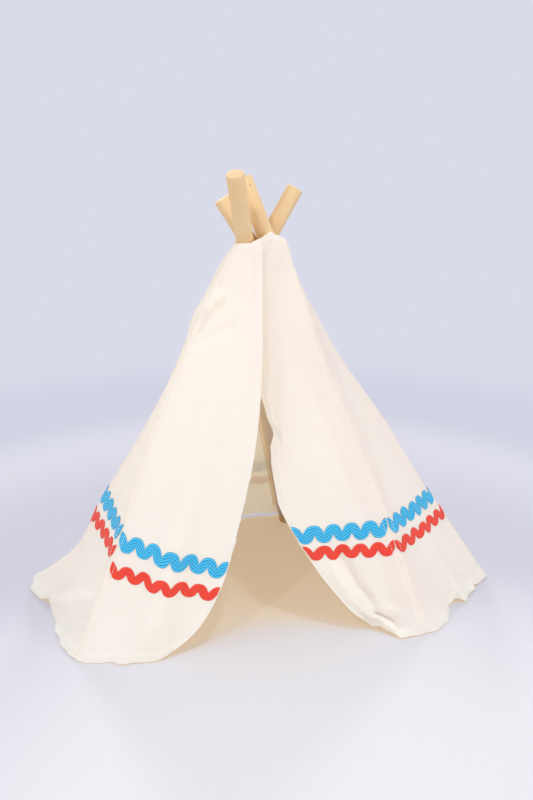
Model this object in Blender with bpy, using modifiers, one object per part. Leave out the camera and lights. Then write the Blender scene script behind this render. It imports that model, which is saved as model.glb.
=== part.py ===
"""Small play teepee: four crossed round poles under a loose cotton cover with two door flaps.

The poles lean on each other at the waist and each runs in a channel sewn inside a seam of the
cover. Two bands of rickrack braid run round the cover above its hem. The door is at the front,
where the flaps overlap at the neck and part towards the hem. Front is -Y, up is +Z, metres.
"""

from math import cos, pi, radians, sin

import bmesh
import bpy
import numpy as np
from mathutils import Matrix, Vector

MM = 0.001

# Poles: half of a 36 inch dowel each, 5/8 inch thick
POLE_DIAMETER = 15.9 * MM
POLE_LENGTH = 457.0 * MM
POLE_CHAMFER = 0.9 * MM
POLE_SIDES = 32
RIM_ANGLE = radians(60)
FACET_ANGLE = radians(30)
BASE_REACH = 200.0 * MM
CUTTER_SPREAD_SHARE = 4.0
WAIST_HEIGHT = 340.0 * MM

# Cover, whose neck sits a little above the waist of the poles
NECK_LAP = 15.0 * MM
COVER_HEIGHT = WAIST_HEIGHT + NECK_LAP
CLOTH_THICKNESS = 1.0 * MM
SLEEVE_SLACK = 12.05 * MM
HEM_CLEARANCE = 1.2 * MM
SEAM_GAP = 0.62 * MM
RIDGE_REACH = 8.0 * MM
RIDGE_WIDTH_SHARE = 0.25
SEAM_STANDOFF = POLE_DIAMETER / 2 + SLEEVE_SLACK
FOLD_DEPTH = 10.0 * MM
FOLD_MARGIN = 30.0 * MM
FOLD_EASE = 22.0 * MM

# Sleeves sewn inside the seams
SLEEVE_WALL = 0.8 * MM
SLEEVE_CLEARANCE = 0.4 * MM
SLEEVE_END_GAP = 1.2 * MM
SLEEVE_HALF_WIDTH = 16.0 * MM
SLEEVE_TOP_ROW = 3
SLEEVE_FOOT_ROW = 14
SLEEVE_ARC_POINTS = 6

# Rickrack braid
BLUE_BAND = 9.4 * MM
BLUE_SWING = 3.2 * MM
BLUE_PITCH = 17.4 * MM
RED_BAND = 8.3 * MM
RED_SWING = 2.2 * MM
RED_PITCH = 17.2 * MM
BRAID_THICKNESS = 1.2 * MM
BRAID_GAP = 0.5 * MM
BRAID_MARGIN = 4.0 * MM
BRAID_STEPS = 8
TRIM_HEIGHT = 100.0 * MM
TRIM_GAP = 4.6 * MM

# Grids of the cover panels
PANEL_ROWS = 17
RIDGE_STEPS = 2
ROW_POWER = 1.3
DOOR_EASE_SHARE = 0.55
FOLD_POWER = 1.6

CANVAS = ("canvas", (0.84, 0.78, 0.68), 0.9)
SLEEVE_CLOTH = ("sleeve_cloth", (0.80, 0.74, 0.64), 0.9)
PALE_WOOD = ("pale_wood", (0.78, 0.54, 0.29), 0.55)
BLUE_BRAID = ("blue_braid", (0.03, 0.40, 0.70), 0.75)
RED_BRAID = ("red_braid", (0.82, 0.07, 0.04), 0.75)

# Feet as shares of BASE_REACH, then places at WAIST_HEIGHT as shares of POLE_DIAMETER:
# there the poles lean on each other, about a diameter apart
POLE_SHARES = {
    "back": ((0.155, 0.9175), (-0.63, 2.01)),
    "back_right": ((1.0725, 0.29), (-0.09, 3.05)),
    "front_right": ((0.7475, -0.1875), (0.85, 2.36)),
    "left": ((-0.9525, 0.0425), (0.16, 4.16)),
}

# The dowels are sawn by hand, so their lengths differ a little from POLE_LENGTH
POLE_LENGTH_SHARES = {"back": 1.0, "back_right": 1.01, "front_right": 0.98, "left": 1.008}

# Points of the axes that the poles fold about: (x, y) as shares of POLE_DIAMETER and height
# as a share of WAIST_HEIGHT. The back pole stays, and the pole named first carries the axis.
FOLD_PIVOT_SHARES = {
    "left": ("back", (-0.088, 2.975, 0.947)),
    "back_right": ("back", (0.365, 3.497, 0.9326)),
    "front_right": ("back_right", (0.667, 2.805, 0.9644)),
}

# Ribs without a pole: foot as shares of BASE_REACH, neck as shares of POLE_DIAMETER
FREE_RIB_SHARES = {
    "door_left": ((-0.225, -0.45), (0.16, 0.69)),
    "front_left": ((-0.82, -0.465), (-1.26, 1.07)),
    "door_right": ((0.23, -0.30), (-0.31, 1.0)),
}

# Each rib leaves its line by these shares of SEAM_STANDOFF, (x, y), at these shares of the height
STATION_SHARES = (1.0, 0.94, 0.85, 0.79, 0.70, 0.50, 0.30, 0.14, 0.05, 0.0)
RIB_OFFSET_SHARES = {
    "door_left": (
        (0, 0), (0.20, 0), (0.42, 0), (0.57, 0), (0.77, 0), (0.92, 0), (0.60, 0), (0.25, 0),
        (0.10, 0), (0, 0),
    ),
    "front_left": (
        (0, 0), (-0.12, 0.02), (-0.28, 0.10), (-0.38, 0.05), (-0.50, 0), (-0.50, -0.05), (-0.15, 0),
        (0, 0), (0.05, -0.10), (-0.10, -0.20),
    ),
    "left": (
        (-1.34, -0.22), (-1.60, -0.10), (-1.58, -0.10), (-1.61, -0.10), (-1.20, -0.05), (-1.0, 0),
        (-1.23, 0), (-1.28, -0.02), (-2.10, 1.10), (-2.45, 2.20),
    ),
    "back": (
        (1.09, 3.12), (0.77, 2.60), (0.42, 1.95), (0.29, 1.56), (0.20, 1.20), (0.15, 1.0),
        (0.15, 0.97), (0.17, 1.0), (0.20, 1.05), (0.20, 1.15),
    ),
    "back_right": (
        (1.95, 1.10), (1.45, 0.67), (1.04, 0.32), (0.98, 0.20), (0.90, 0.10), (1.15, 0),
        (1.12, -0.10), (1.25, -0.18), (1.30, -0.25), (1.35, -0.30),
    ),
    "front_right": (
        (0.82, -0.40), (0.75, -0.55), (0.70, -0.80), (0.60, -0.85), (0.50, -0.85), (0.55, -0.76),
        (0.58, -0.80), (0.50, -0.90), (0.45, -0.93), (0.43, -0.98),
    ),
    "door_right": (
        (0, 0), (-0.15, 0), (-0.38, 0), (-0.52, 0), (-0.62, 0), (-0.58, 0), (-0.45, 0), (-0.20, 0),
        (-0.08, 0), (0, 0),
    ),
}

# Neck edge of each rib as a share of COVER_HEIGHT
NECK_SHARES = {
    "door_left": 1.0,
    "front_left": 0.995,
    "left": 0.985,
    "back": 0.985,
    "back_right": 0.965,
    "front_right": 1.015,
    "door_right": 1.0,
}

# Panels, clockwise from the door: the ribs that bound each, its columns between the ridges, its
# outward belly, and folds as waves across the panel, phase as a share of a wave, and depth.
# Belly and depths are shares of FOLD_DEPTH. A flap's lower door corner is cut round over these
# shares of the flap's width and height, with this power.
PANELS = {
    "left_flap": {
        "ribs": ("door_left", "front_left"),
        "columns": 11,
        "belly_share": 0.5,
        "fold_shares": ((0.5, 0.0, 1.1),),
        "corner_shares": (0.42, 0.235, 2.0),
    },
    "left_side_panel": {
        "ribs": ("front_left", "left"),
        "columns": 8,
        "belly_share": -0.15,
        "fold_shares": ((1.0, 0.0, 0.35),),
    },
    "back_left_panel": {
        "ribs": ("left", "back"),
        "columns": 18,
        "belly_share": 0.5,
        "fold_shares": ((2.5, 0.0, 0.6), (1.0, 0.1, 0.3)),
    },
    "back_right_panel": {
        "ribs": ("back", "back_right"),
        "columns": 18,
        "belly_share": 0.4,
        "fold_shares": ((3.0, 0.15, 0.5), (1.0, 0.5, 0.3)),
    },
    "right_side_panel": {
        "ribs": ("back_right", "front_right"),
        "columns": 12,
        "belly_share": 0.1,
        "fold_shares": ((2.5, 0.05, 0.5),),
    },
    "right_flap": {
        "ribs": ("front_right", "door_right"),
        "columns": 11,
        "belly_share": 0.35,
        "fold_shares": ((1.5, 0.1, 0.25),),
        "corner_shares": (0.56, 0.35, 1.2),
    },
}

# Bands of braid on each panel: middle of the blue one as shares of TRIM_HEIGHT at the panel's
# two ribs, then the clear gap down to the red one as shares of TRIM_GAP
TRIM_SHARES = {
    "left_flap": ((0.74, 1.01), (1.2, 2.0)),
    "left_side_panel": ((1.06, 1.09), (0.2, 0.8)),
    "back_left_panel": ((1.0, 0.83), (1.4, 1.4)),
    "back_right_panel": ((0.83, 0.93), (1.4, 1.0)),
    "right_side_panel": ((0.95, 0.99), (0.8, 0.8)),
    "right_flap": ((0.99, 0.94), (0.7, 0.2)),
}

# Pole or flap that each panel moves with
PANEL_BODIES = {
    "left_flap": "left_flap",
    "left_side_panel": "left",
    "back_left_panel": "back",
    "back_right_panel": "back",
    "right_side_panel": "back_right",
    "right_flap": "right_flap",
}

# Pole that carries each flap, and the seam that the flap swings about
FLAP_HINGES = {"left_flap": ("left", "front_left"), "right_flap": ("front_right", "front_right")}


def smooth_through(stations, values, at):
    """Value at a height on the smooth curve through the stations, which fall from neck to hem."""
    stations = np.array(stations[::-1], float)
    values = np.array(values[::-1], float)
    at = float(np.clip(at, stations[0], stations[-1]))
    slopes = np.gradient(values, stations, axis=0)
    i = int(np.clip(np.searchsorted(stations, at) - 1, 0, len(stations) - 2))
    span = stations[i + 1] - stations[i]
    t = (at - stations[i]) / span
    start = (1 + 2 * t) * (1 - t) ** 2 * values[i] + t * (1 - t) ** 2 * span * slopes[i]
    end = t * t * (3 - 2 * t) * values[i + 1] - t * t * (1 - t) * span * slopes[i + 1]
    return start + end


def pole_foot(pole):
    x, y = POLE_SHARES[pole][0]
    return Vector((x * BASE_REACH, y * BASE_REACH, 0))


def pole_waist(pole):
    x, y = POLE_SHARES[pole][1]
    return Vector((x * POLE_DIAMETER, y * POLE_DIAMETER, WAIST_HEIGHT))


def pole_direction(pole):
    return (pole_waist(pole) - pole_foot(pole)).normalized()


def pole_point(pole, height):
    """Point of a pole's middle line at a height."""
    return pole_foot(pole).lerp(pole_waist(pole), height / WAIST_HEIGHT)


def rib_line(rib, height):
    """Point at a height on the straight line that a rib follows."""
    if rib in POLE_SHARES:
        return pole_point(rib, height)
    foot, neck = FREE_RIB_SHARES[rib]
    low = Vector((foot[0] * BASE_REACH, foot[1] * BASE_REACH, 0))
    high = Vector((neck[0] * POLE_DIAMETER, neck[1] * POLE_DIAMETER, COVER_HEIGHT))
    return low.lerp(high, height / COVER_HEIGHT)


def rib_point(rib, v):
    """Point of a rib, from the neck edge at v = 0 down to the hem at v = 1."""
    height = COVER_HEIGHT * NECK_SHARES[rib] * (1 - v) + HEM_CLEARANCE * v
    offset = smooth_through(STATION_SHARES, RIB_OFFSET_SHARES[rib], height / COVER_HEIGHT)
    point = rib_line(rib, height)
    return point + Vector((offset[0], offset[1], 0)) * SEAM_STANDOFF


def panel_beside(rib, side):
    """Rib at the far side of the panel before (side 0) or after (side 1) a rib, or None."""
    for shape in PANELS.values():
        first, last = shape["ribs"]
        if side == 1 and first == rib:
            return last
        if side == 0 and last == rib:
            return first
    return None


def has_neighbour(rib):
    """Whether panels meet at a rib, which is sewn there, and not open at the door."""
    return panel_beside(rib, 0) is not None and panel_beside(rib, 1) is not None


def smooth_step(t):
    """0 up to t = 0, 1 from t = 1 on, and smooth between."""
    t = min(max(t, 0), 1)
    return t * t * (3 - 2 * t)


def chord_point(panel, u, v):
    """Point of a panel between its ribs, with belly and folds but no rounded ridges."""
    shape = PANELS[panel]
    a = rib_point(shape["ribs"][0], v)
    b = rib_point(shape["ribs"][1], v)
    along = b - a
    outward = Vector((-along.y, along.x, 0)).normalized()
    belly = shape["belly_share"] * sin(pi * v) * sin(pi * u)
    folds = 0.0
    for waves, phase, depth in shape["fold_shares"]:
        folds += depth * sin(2 * pi * (waves * u + phase)) * v ** FOLD_POWER
    from_rib = min(u, 1 - u) * along.length
    window = smooth_step((from_rib - FOLD_MARGIN) / FOLD_EASE)
    return a + along * u + outward * FOLD_DEPTH * (belly + folds * window)


def ridge_reach(rib, v):
    """How far the rounding of a ridge runs into its panels: less near the narrow neck."""
    corner = rib_point(rib, v)
    widths = [(rib_point(panel_beside(rib, side), v) - corner).length for side in (0, 1)]
    return min(RIDGE_REACH, min(widths) * RIDGE_WIDTH_SHARE)


def ridge_point(panel, v, at_start, step):
    """Point of a panel's rounded ridge: step 0 lies on the seam, the last where it ends."""
    first, last = PANELS[panel]["ribs"]
    rib, far = (first, last) if at_start else (last, first)
    corner = rib_point(rib, v)
    own = (rib_point(far, v) - corner).normalized()
    other = (rib_point(panel_beside(rib, 0 if at_start else 1), v) - corner).normalized()
    t = (1 - step / RIDGE_STEPS) / 2
    point = corner + (own * (1 - t) ** 2 + other * t * t) * ridge_reach(rib, v)
    if step == 0:
        point += (own - other).normalized() * SEAM_GAP / 2
    return point


def corner_end(panel, u):
    """Share of the height at which a column ends: flaps have their lower door corner cut round."""
    shape = PANELS[panel]
    if "corner_shares" not in shape:
        return 1.0
    width, height, power = shape["corner_shares"]
    from_door = u if has_neighbour(shape["ribs"][1]) else 1 - u
    t = 1 - min(from_door / width, 1)
    return 1 - height * (1 - (1 - t ** power) ** (1 / power))


def corner_inset(panel, lift):
    """Share of a flap's width that its cut corner takes at a share of its height above the hem."""
    width, height, power = PANELS[panel]["corner_shares"]
    open_share = 1 - min(lift / height, 1)
    return width * (1 - (1 - open_share ** power) ** (1 / power))


def column_shares(panel):
    """Places of a panel's columns between its ridges, closer together towards a door edge."""
    count = PANELS[panel]["columns"]
    shares = [i / count for i in range(count + 1)]
    if "corner_shares" not in PANELS[panel]:
        return shares
    eased = [(1 - DOOR_EASE_SHARE) * s + DOOR_EASE_SHARE * (1 - cos(s * pi / 2)) for s in shares]
    if has_neighbour(PANELS[panel]["ribs"][1]):
        return eased
    return [1 - s for s in reversed(eased)]


def panel_columns(panel):
    """Columns of a panel as (kind, place): steps of a ridge, or shares between the ridges."""
    first, last = PANELS[panel]["ribs"]
    columns = []
    if has_neighbour(first):
        columns += [("start", step) for step in range(RIDGE_STEPS)]
    columns += [("middle", share) for share in column_shares(panel)]
    if has_neighbour(last):
        columns += [("end", step) for step in range(RIDGE_STEPS - 1, -1, -1)]
    return columns


def panel_u(panel, share, v):
    """Share of the panel's whole width of a column between the rounded ridges."""
    first, last = PANELS[panel]["ribs"]
    chord = (rib_point(last, v) - rib_point(first, v)).length
    low = ridge_reach(first, v) / chord if has_neighbour(first) else 0
    high = 1 - ridge_reach(last, v) / chord if has_neighbour(last) else 1
    return low + (high - low) * share


def row_v(row):
    """Share of a panel's length of a row, counted from the neck edge: closer towards the hem."""
    return 1 - (1 - row / (PANEL_ROWS - 1)) ** ROW_POWER


def column_point(panel, column, row):
    """Point of one column of a panel in a row."""
    kind, place = column
    v = row_v(row)
    if kind == "middle":
        v *= corner_end(panel, panel_u(panel, place, 1))
        return chord_point(panel, panel_u(panel, place, v), v)
    return ridge_point(panel, v, kind == "start", place)


def parts_collection(name):
    collection = bpy.data.collections.new(name)
    bpy.context.scene.collection.children.link(collection)
    return collection


def material(look):
    name, colour, roughness = look
    found = bpy.data.materials.get(name)
    if found:
        return found
    made = bpy.data.materials.new(name)
    made.use_nodes = True
    shader = made.node_tree.nodes["Principled BSDF"]
    shader.inputs["Base Color"].default_value = (*colour, 1)
    shader.inputs["Roughness"].default_value = roughness
    shader.inputs["Metallic"].default_value = 0
    return made


def add_object(name, mesh, collection, parent, look):
    made = bpy.data.objects.new(name, mesh)
    collection.objects.link(made)
    made.parent = parent
    if look:
        mesh.materials.append(material(look))
    return made


def add_empty(name, collection, parent, place):
    empty = bpy.data.objects.new(name, None)
    empty.empty_display_size = POLE_DIAMETER
    collection.objects.link(empty)
    empty.parent = parent
    empty.location = place
    return empty


def grid_mesh(name, columns, rows, place, outward):
    """A create_grid sheet with its vertices at place(column, row), faced along outward(point)."""
    bm = bmesh.new()
    bmesh.ops.create_grid(bm, x_segments=columns - 1, y_segments=rows - 1, size=1)
    ordered = sorted(bm.verts, key=lambda vert: (round(vert.co.y, 5), round(vert.co.x, 5)))
    for index, vert in enumerate(ordered):
        vert.co = place(index % columns, index // columns)
    bm.normal_update()
    facing = sum(face.normal.dot(outward(face.calc_center_median())) for face in bm.faces)
    if facing < 0:
        bmesh.ops.reverse_faces(bm, faces=bm.faces)
    bmesh.ops.triangulate(bm, faces=bm.faces, quad_method="FIXED")
    mesh = bpy.data.meshes.new(name)
    bm.to_mesh(mesh)
    bm.free()
    return mesh


def thicken(sheet, thickness, offset):
    solid = sheet.modifiers.new("thickness", "SOLIDIFY")
    solid.thickness = thickness
    solid.offset = offset
    solid.use_even_offset = True
    return solid


def floor_cutter(collection, parent):
    """A block under the floor, wider than the spread of the poles, that cuts their feet level."""
    spread = CUTTER_SPREAD_SHARE * BASE_REACH
    bm = bmesh.new()
    bmesh.ops.create_cube(bm, size=1)
    bmesh.ops.scale(bm, verts=bm.verts, vec=(spread, spread, BASE_REACH))
    bmesh.ops.translate(bm, verts=bm.verts, vec=(0, 0, -BASE_REACH / 2))
    mesh = bpy.data.meshes.new("floor_cutter")
    bm.to_mesh(mesh)
    bm.free()
    cutter = add_object("floor_cutter", mesh, collection, parent, None)
    cutter.hide_render = True
    cutter.display_type = "WIRE"
    return cutter


def add_pole(pole, collection, parent, cutter):
    """A round dowel with lightly chamfered ends, its foot cut level to stand on."""
    direction = pole_direction(pole)
    length = POLE_LENGTH * POLE_LENGTH_SHARES[pole]
    spare = POLE_DIAMETER
    bm = bmesh.new()
    bmesh.ops.create_cone(
        bm,
        cap_ends=True,
        segments=POLE_SIDES,
        radius1=POLE_DIAMETER / 2,
        radius2=POLE_DIAMETER / 2,
        depth=length + spare,
    )
    mesh = bpy.data.meshes.new(pole)
    bm.to_mesh(mesh)
    bm.free()
    made = add_object(f"pole_{pole}", mesh, collection, parent, PALE_WOOD)
    middle = pole_foot(pole) + direction * (length - spare) / 2
    lean = direction.to_track_quat("Z", "Y").to_matrix().to_4x4()
    made.matrix_world = Matrix.Translation(middle) @ lean
    chamfer = made.modifiers.new("chamfer", "BEVEL")
    chamfer.width = POLE_CHAMFER
    chamfer.segments = 1
    chamfer.limit_method = "ANGLE"
    chamfer.angle_limit = RIM_ANGLE
    cut = made.modifiers.new("level foot", "BOOLEAN")
    cut.operation = "DIFFERENCE"
    cut.solver = "EXACT"
    cut.object = cutter
    mesh.shade_smooth()
    mesh.set_sharp_from_angle(angle=FACET_ANGLE)
    return made


def sleeve_profile(pole, v):
    """Open U round the inner side of a pole, whose legs reach the panels beside its seam."""
    ridge = rib_point(pole, v)
    centre = pole_point(pole, ridge.z)
    axis = pole_direction(pole)
    out = ridge - centre
    out = (out - axis * out.dot(axis)).normalized()
    lateral = axis.cross(out)
    ends = []
    for panel, shape in PANELS.items():
        if pole not in shape["ribs"]:
            continue
        a, b = (rib_point(rib, v) for rib in shape["ribs"])
        share = SLEEVE_HALF_WIDTH / (b - a).length
        u = share if shape["ribs"][0] == pole else 1 - share
        inward = Vector((b.y - a.y, a.x - b.x, 0)).normalized()
        ends.append(chord_point(panel, u, v) + inward * (CLOTH_THICKNESS + SLEEVE_END_GAP))
    ends.sort(key=lambda point: -(point - centre).dot(lateral))
    radius = POLE_DIAMETER / 2 + SLEEVE_CLEARANCE
    bend = []
    for k in range(SLEEVE_ARC_POINTS):
        angle = pi / 2 + pi * k / (SLEEVE_ARC_POINTS - 1)
        bend.append(centre + (out * cos(angle) + lateral * sin(angle)) * radius / flat_share())
    return [ends[0], *bend, ends[1]]


def flat_share():
    """Distance of the flats of the sleeve's bend from its middle, as a share of its corners'."""
    return cos(pi / (2 * (SLEEVE_ARC_POINTS - 1)))


def add_sleeve(pole, collection, parent):
    """Sewn cloth channel along the inside of a seam, which holds the pole."""
    rows = range(SLEEVE_TOP_ROW, SLEEVE_FOOT_ROW + 1)
    profiles = [sleeve_profile(pole, row_v(row)) for row in rows]
    mesh = grid_mesh(
        f"sleeve_{pole}",
        len(profiles[0]),
        len(profiles),
        lambda column, row: profiles[row][column],
        lambda point: point - pole_point(pole, point.z),
    )
    made = add_object(f"sleeve_{pole}", mesh, collection, parent, SLEEVE_CLOTH)
    thicken(made, SLEEVE_WALL, 1)
    return made


def add_panel(panel, collection, parent):
    """One sewn panel of the cover, from the neck edge to the hem, with its main folds."""
    columns = panel_columns(panel)

    def place(column, row):
        return column_point(panel, columns[column], PANEL_ROWS - 1 - row)

    outward = outward_of(panel)
    mesh = grid_mesh(panel, len(columns), PANEL_ROWS, place, lambda point: outward)
    made = add_object(panel, mesh, collection, parent, CANVAS)
    thicken(made, CLOTH_THICKNESS, -1)
    mesh.shade_smooth()
    return made


def braid_look(colour):
    """Width of the band, its swing to each side, its pitch and its material."""
    if colour == "blue":
        return BLUE_BAND, BLUE_SWING, BLUE_PITCH, BLUE_BRAID
    return RED_BAND, RED_SWING, RED_PITCH, RED_BRAID


def braid_height(panel, colour, u):
    """Height of the middle of a braid at a share of the panel's width."""
    blue, gap = TRIM_SHARES[panel]
    height = (blue[0] * (1 - u) + blue[1] * u) * TRIM_HEIGHT
    if colour == "blue":
        return height
    clear = (gap[0] * (1 - u) + gap[1] * u) * TRIM_GAP
    return height - clear - (BLUE_BAND + RED_BAND) / 2 - BLUE_SWING - RED_SWING


def panel_v(panel, u, height):
    """Share of the way from the neck edge to the hem at which a panel is at a height."""
    first, last = PANELS[panel]["ribs"]
    neck = COVER_HEIGHT * (NECK_SHARES[first] * (1 - u) + NECK_SHARES[last] * u)
    return (neck - height) / (neck - HEM_CLEARANCE)


def braid_end(panel, colour, side):
    """Share of the panel's width at which a braid starts (side 0) or stops (side 1)."""
    rib = PANELS[panel]["ribs"][side]
    height = braid_height(panel, colour, side)
    v = panel_v(panel, side, height)
    a, b = (rib_point(each, v) for each in PANELS[panel]["ribs"])
    inset = BRAID_MARGIN / (b - a).length
    if not has_neighbour(rib):
        band, swing = braid_look(colour)[:2]
        inset += corner_inset(panel, (height - band / 2 - swing) / COVER_HEIGHT)
    return abs(side - inset)


def braid_point(panel, colour, u, rise):
    """Point of a panel a rise above the middle of a braid."""
    return chord_point(panel, u, panel_v(panel, u, braid_height(panel, colour, u) + rise))


def braid_length(panel, colour, start, end):
    shares = [k / PANEL_ROWS for k in range(PANEL_ROWS + 1)]
    points = [braid_point(panel, colour, start + (end - start) * share, 0) for share in shares]
    return sum((q - p).length for p, q in zip(points, points[1:]))


def add_braid(panel, colour, sheet, collection, parent):
    """Wavy braid sewn flat on the outside of a panel, in whole waves."""
    band, swing, pitch, look = braid_look(colour)
    start, end = braid_end(panel, colour, 0), braid_end(panel, colour, 1)
    length = braid_length(panel, colour, start, end)
    waves = max(1, round(length / pitch))
    steps = waves * BRAID_STEPS
    outward = outward_of(panel)

    rise = braid_height(panel, colour, end) - braid_height(panel, colour, start)

    def place(column, row):
        across = swing * sin(2 * pi * column / BRAID_STEPS) + (row - 0.5) * band
        share = column / steps - across * rise / length / length
        point = braid_point(panel, colour, start + (end - start) * share, across)
        return point + outward * BRAID_THICKNESS

    name = f"{colour}_braid_{panel}"
    mesh = grid_mesh(name, steps + 1, 2, place, lambda point: outward)
    made = add_object(name, mesh, collection, parent, look)
    wrap = made.modifiers.new("sewn on", "SHRINKWRAP")
    wrap.target = sheet
    wrap.wrap_method = "NEAREST_SURFACEPOINT"
    wrap.wrap_mode = "OUTSIDE_SURFACE"
    wrap.offset = BRAID_GAP
    thicken(made, BRAID_THICKNESS, 1)
    return made


def outward_of(panel):
    """Level direction out of a panel at half its height."""
    a, b = (rib_point(rib, 0.5) for rib in PANELS[panel]["ribs"])
    return Vector((a.y - b.y, b.x - a.x, 0)).normalized()


def add_pivots(collection, root):
    """Empties on the axes that the poles fold about and the flaps swing about."""
    pivots = {"back": root}
    places = {"back": Vector((0, 0, 0))}
    for pole, (carrier, (x, y, height)) in FOLD_PIVOT_SHARES.items():
        places[pole] = Vector((x * POLE_DIAMETER, y * POLE_DIAMETER, height * WAIST_HEIGHT))
        offset = places[pole] - places[carrier]
        pivots[pole] = add_empty(f"{pole}_fold", collection, pivots[carrier], offset)
    for flap, (carrier, rib) in FLAP_HINGES.items():
        place = (rib_point(rib, 0) + rib_point(rib, 1)) / 2
        pivots[flap] = add_empty(f"{flap}_hinge", collection, pivots[carrier], place - places[carrier])
    bpy.context.view_layer.update()
    return pivots


def keep_in_place(made):
    """Objects drawn in the teepee's frame keep their place under their pivot."""
    for part in made:
        if not part.name.startswith("pole_"):
            part.matrix_parent_inverse = part.parent.matrix_world.inverted()
    bpy.context.view_layer.update()


def centre_on_floor(root, made):
    """Moves the root so that the whole teepee stands centred on the frame's origin."""
    graph = bpy.context.evaluated_depsgraph_get()
    places = []
    for part in made:
        shown = part.evaluated_get(graph)
        places += [shown.matrix_world @ vert.co for vert in shown.data.vertices]
    low = np.min(np.array(places), axis=0)
    high = np.max(np.array(places), axis=0)
    root.location = (-(low[0] + high[0]) / 2, -(low[1] + high[1]) / 2, -low[2])
    bpy.context.view_layer.update()


def build():
    for old in list(bpy.data.objects):
        bpy.data.objects.remove(old, do_unlink=True)
    parts = parts_collection("kids_teepee")
    cutters = parts_collection("cutters")
    root = add_empty("teepee", parts, None, (0, 0, 0))
    cutter = floor_cutter(cutters, root)
    pivots = add_pivots(parts, root)
    made = []
    for pole in POLE_SHARES:
        made.append(add_pole(pole, parts, pivots[pole], cutter))
        made.append(add_sleeve(pole, parts, pivots[pole]))
    for panel, body in PANEL_BODIES.items():
        sheet = add_panel(panel, parts, pivots[body])
        made.append(sheet)
        for colour in ("blue", "red"):
            made.append(add_braid(panel, colour, sheet, parts, pivots[body]))
    keep_in_place(made)
    centre_on_floor(root, made)


build()
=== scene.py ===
"""A small play teepee: four crossed dowels under a loose cotton cover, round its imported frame."""

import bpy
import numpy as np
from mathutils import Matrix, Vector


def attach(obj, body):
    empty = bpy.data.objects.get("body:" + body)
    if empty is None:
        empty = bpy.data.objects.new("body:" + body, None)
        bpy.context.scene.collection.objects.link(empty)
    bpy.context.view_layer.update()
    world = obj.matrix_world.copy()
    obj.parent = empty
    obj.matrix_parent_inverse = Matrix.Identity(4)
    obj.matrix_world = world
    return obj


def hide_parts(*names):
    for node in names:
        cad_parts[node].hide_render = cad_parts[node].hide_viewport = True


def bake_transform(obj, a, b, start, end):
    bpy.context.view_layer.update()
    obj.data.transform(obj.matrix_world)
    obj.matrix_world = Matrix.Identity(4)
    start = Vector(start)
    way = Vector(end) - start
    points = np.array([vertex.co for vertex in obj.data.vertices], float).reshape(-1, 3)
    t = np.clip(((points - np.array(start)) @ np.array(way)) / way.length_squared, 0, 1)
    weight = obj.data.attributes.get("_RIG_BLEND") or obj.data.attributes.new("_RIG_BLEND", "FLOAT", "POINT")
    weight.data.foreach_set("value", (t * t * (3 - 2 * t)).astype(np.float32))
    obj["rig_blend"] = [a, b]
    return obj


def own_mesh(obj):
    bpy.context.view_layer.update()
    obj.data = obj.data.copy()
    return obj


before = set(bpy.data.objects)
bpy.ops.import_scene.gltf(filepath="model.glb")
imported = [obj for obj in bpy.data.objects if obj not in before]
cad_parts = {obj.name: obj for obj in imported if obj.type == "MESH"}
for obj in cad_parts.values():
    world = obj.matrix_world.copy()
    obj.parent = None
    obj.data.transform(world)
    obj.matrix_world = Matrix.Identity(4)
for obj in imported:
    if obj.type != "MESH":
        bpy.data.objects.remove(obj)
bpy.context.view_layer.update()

from math import cos, pi, radians, sin

import bmesh
import bpy
import numpy as np
from mathutils import Matrix, Vector

MM = 0.001

# The cover is drawn in its own frame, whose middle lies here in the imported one
COVER_PLACE = np.array((-0.989, -49.793, 0.0)) * MM

# Poles, whose width wanders a little along them
POLE_DIAMETER = 15.9 * MM
POLE_LENGTH = 457.0 * MM
BASE_REACH = 200.0 * MM
WAIST_HEIGHT = 340.0 * MM
POLE_SIDES = 64
POLE_CUTS = 24
POLE_EASING = 0.9 * MM
EASING_STEPS = 3
POLE_WANDER = 0.004
WANDER_LENGTHS = (31 * MM, 12 * MM)
SHARP_ANGLE = 50

# Cover
NECK_LAP = 15.0 * MM
COVER_HEIGHT = WAIST_HEIGHT + NECK_LAP
SLEEVE_SLACK = 12.05 * MM
SEAM_STANDOFF = POLE_DIAMETER / 2 + SLEEVE_SLACK
HEM_CLEARANCE = 1.2 * MM
LOWEST = 0.6 * MM
FLOOR_GAP = 0.15 * MM
SEAM_GAP = 0.3 * MM
RIDGE_REACH = 8.0 * MM
RIDGE_SHARE = 0.25
FOLD_DEPTH = 10.0 * MM
FOLD_MARGIN = 30.0 * MM
FOLD_EASE = 22.0 * MM
FOLD_POWER = 1.6
CLOTH = 0.75 * MM
ALLOWANCE = 4.0 * MM
ALLOWANCE_SHARES = (0.12, 0.5, 1.0)

# Turned edges of the cover: their width, thickness and rise, then how far inside the turn the
# thickness and the rise start and how wide they slope
HEM_TURN = 6.5 * MM
HEM_CLOTH = 1.5 * MM
HEM_RISE = 0.35 * MM
LAYER_START = 0.6 * MM
RISE_START = 0.8 * MM
TURN_SLOPE = 1.2 * MM

# Small forms of the cloth. Its waves are given as seed, height and length, both in mm; they are
# calm at the neck and beside a seam. The puckers beside the seams, the free edges and the hem
# fade over the distance that follows them.
NOISE_WAVES = 7
NOISE_SPREAD = (0.6, 1.5)
SOFT_WAVES = ((3, 0.75, 95), (5, 0.3, 38))
NECK_CALM = 2.2
NECK_RELIEF = 0.2
SEAM_CALM = 18 * MM
PUCKERS = (((7, 0.22, 15), 9 * MM), ((11, 0.12, 13), 8 * MM), ((13, 0.35, 44), 26 * MM))
CREASE_FADE = 0.25

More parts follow.
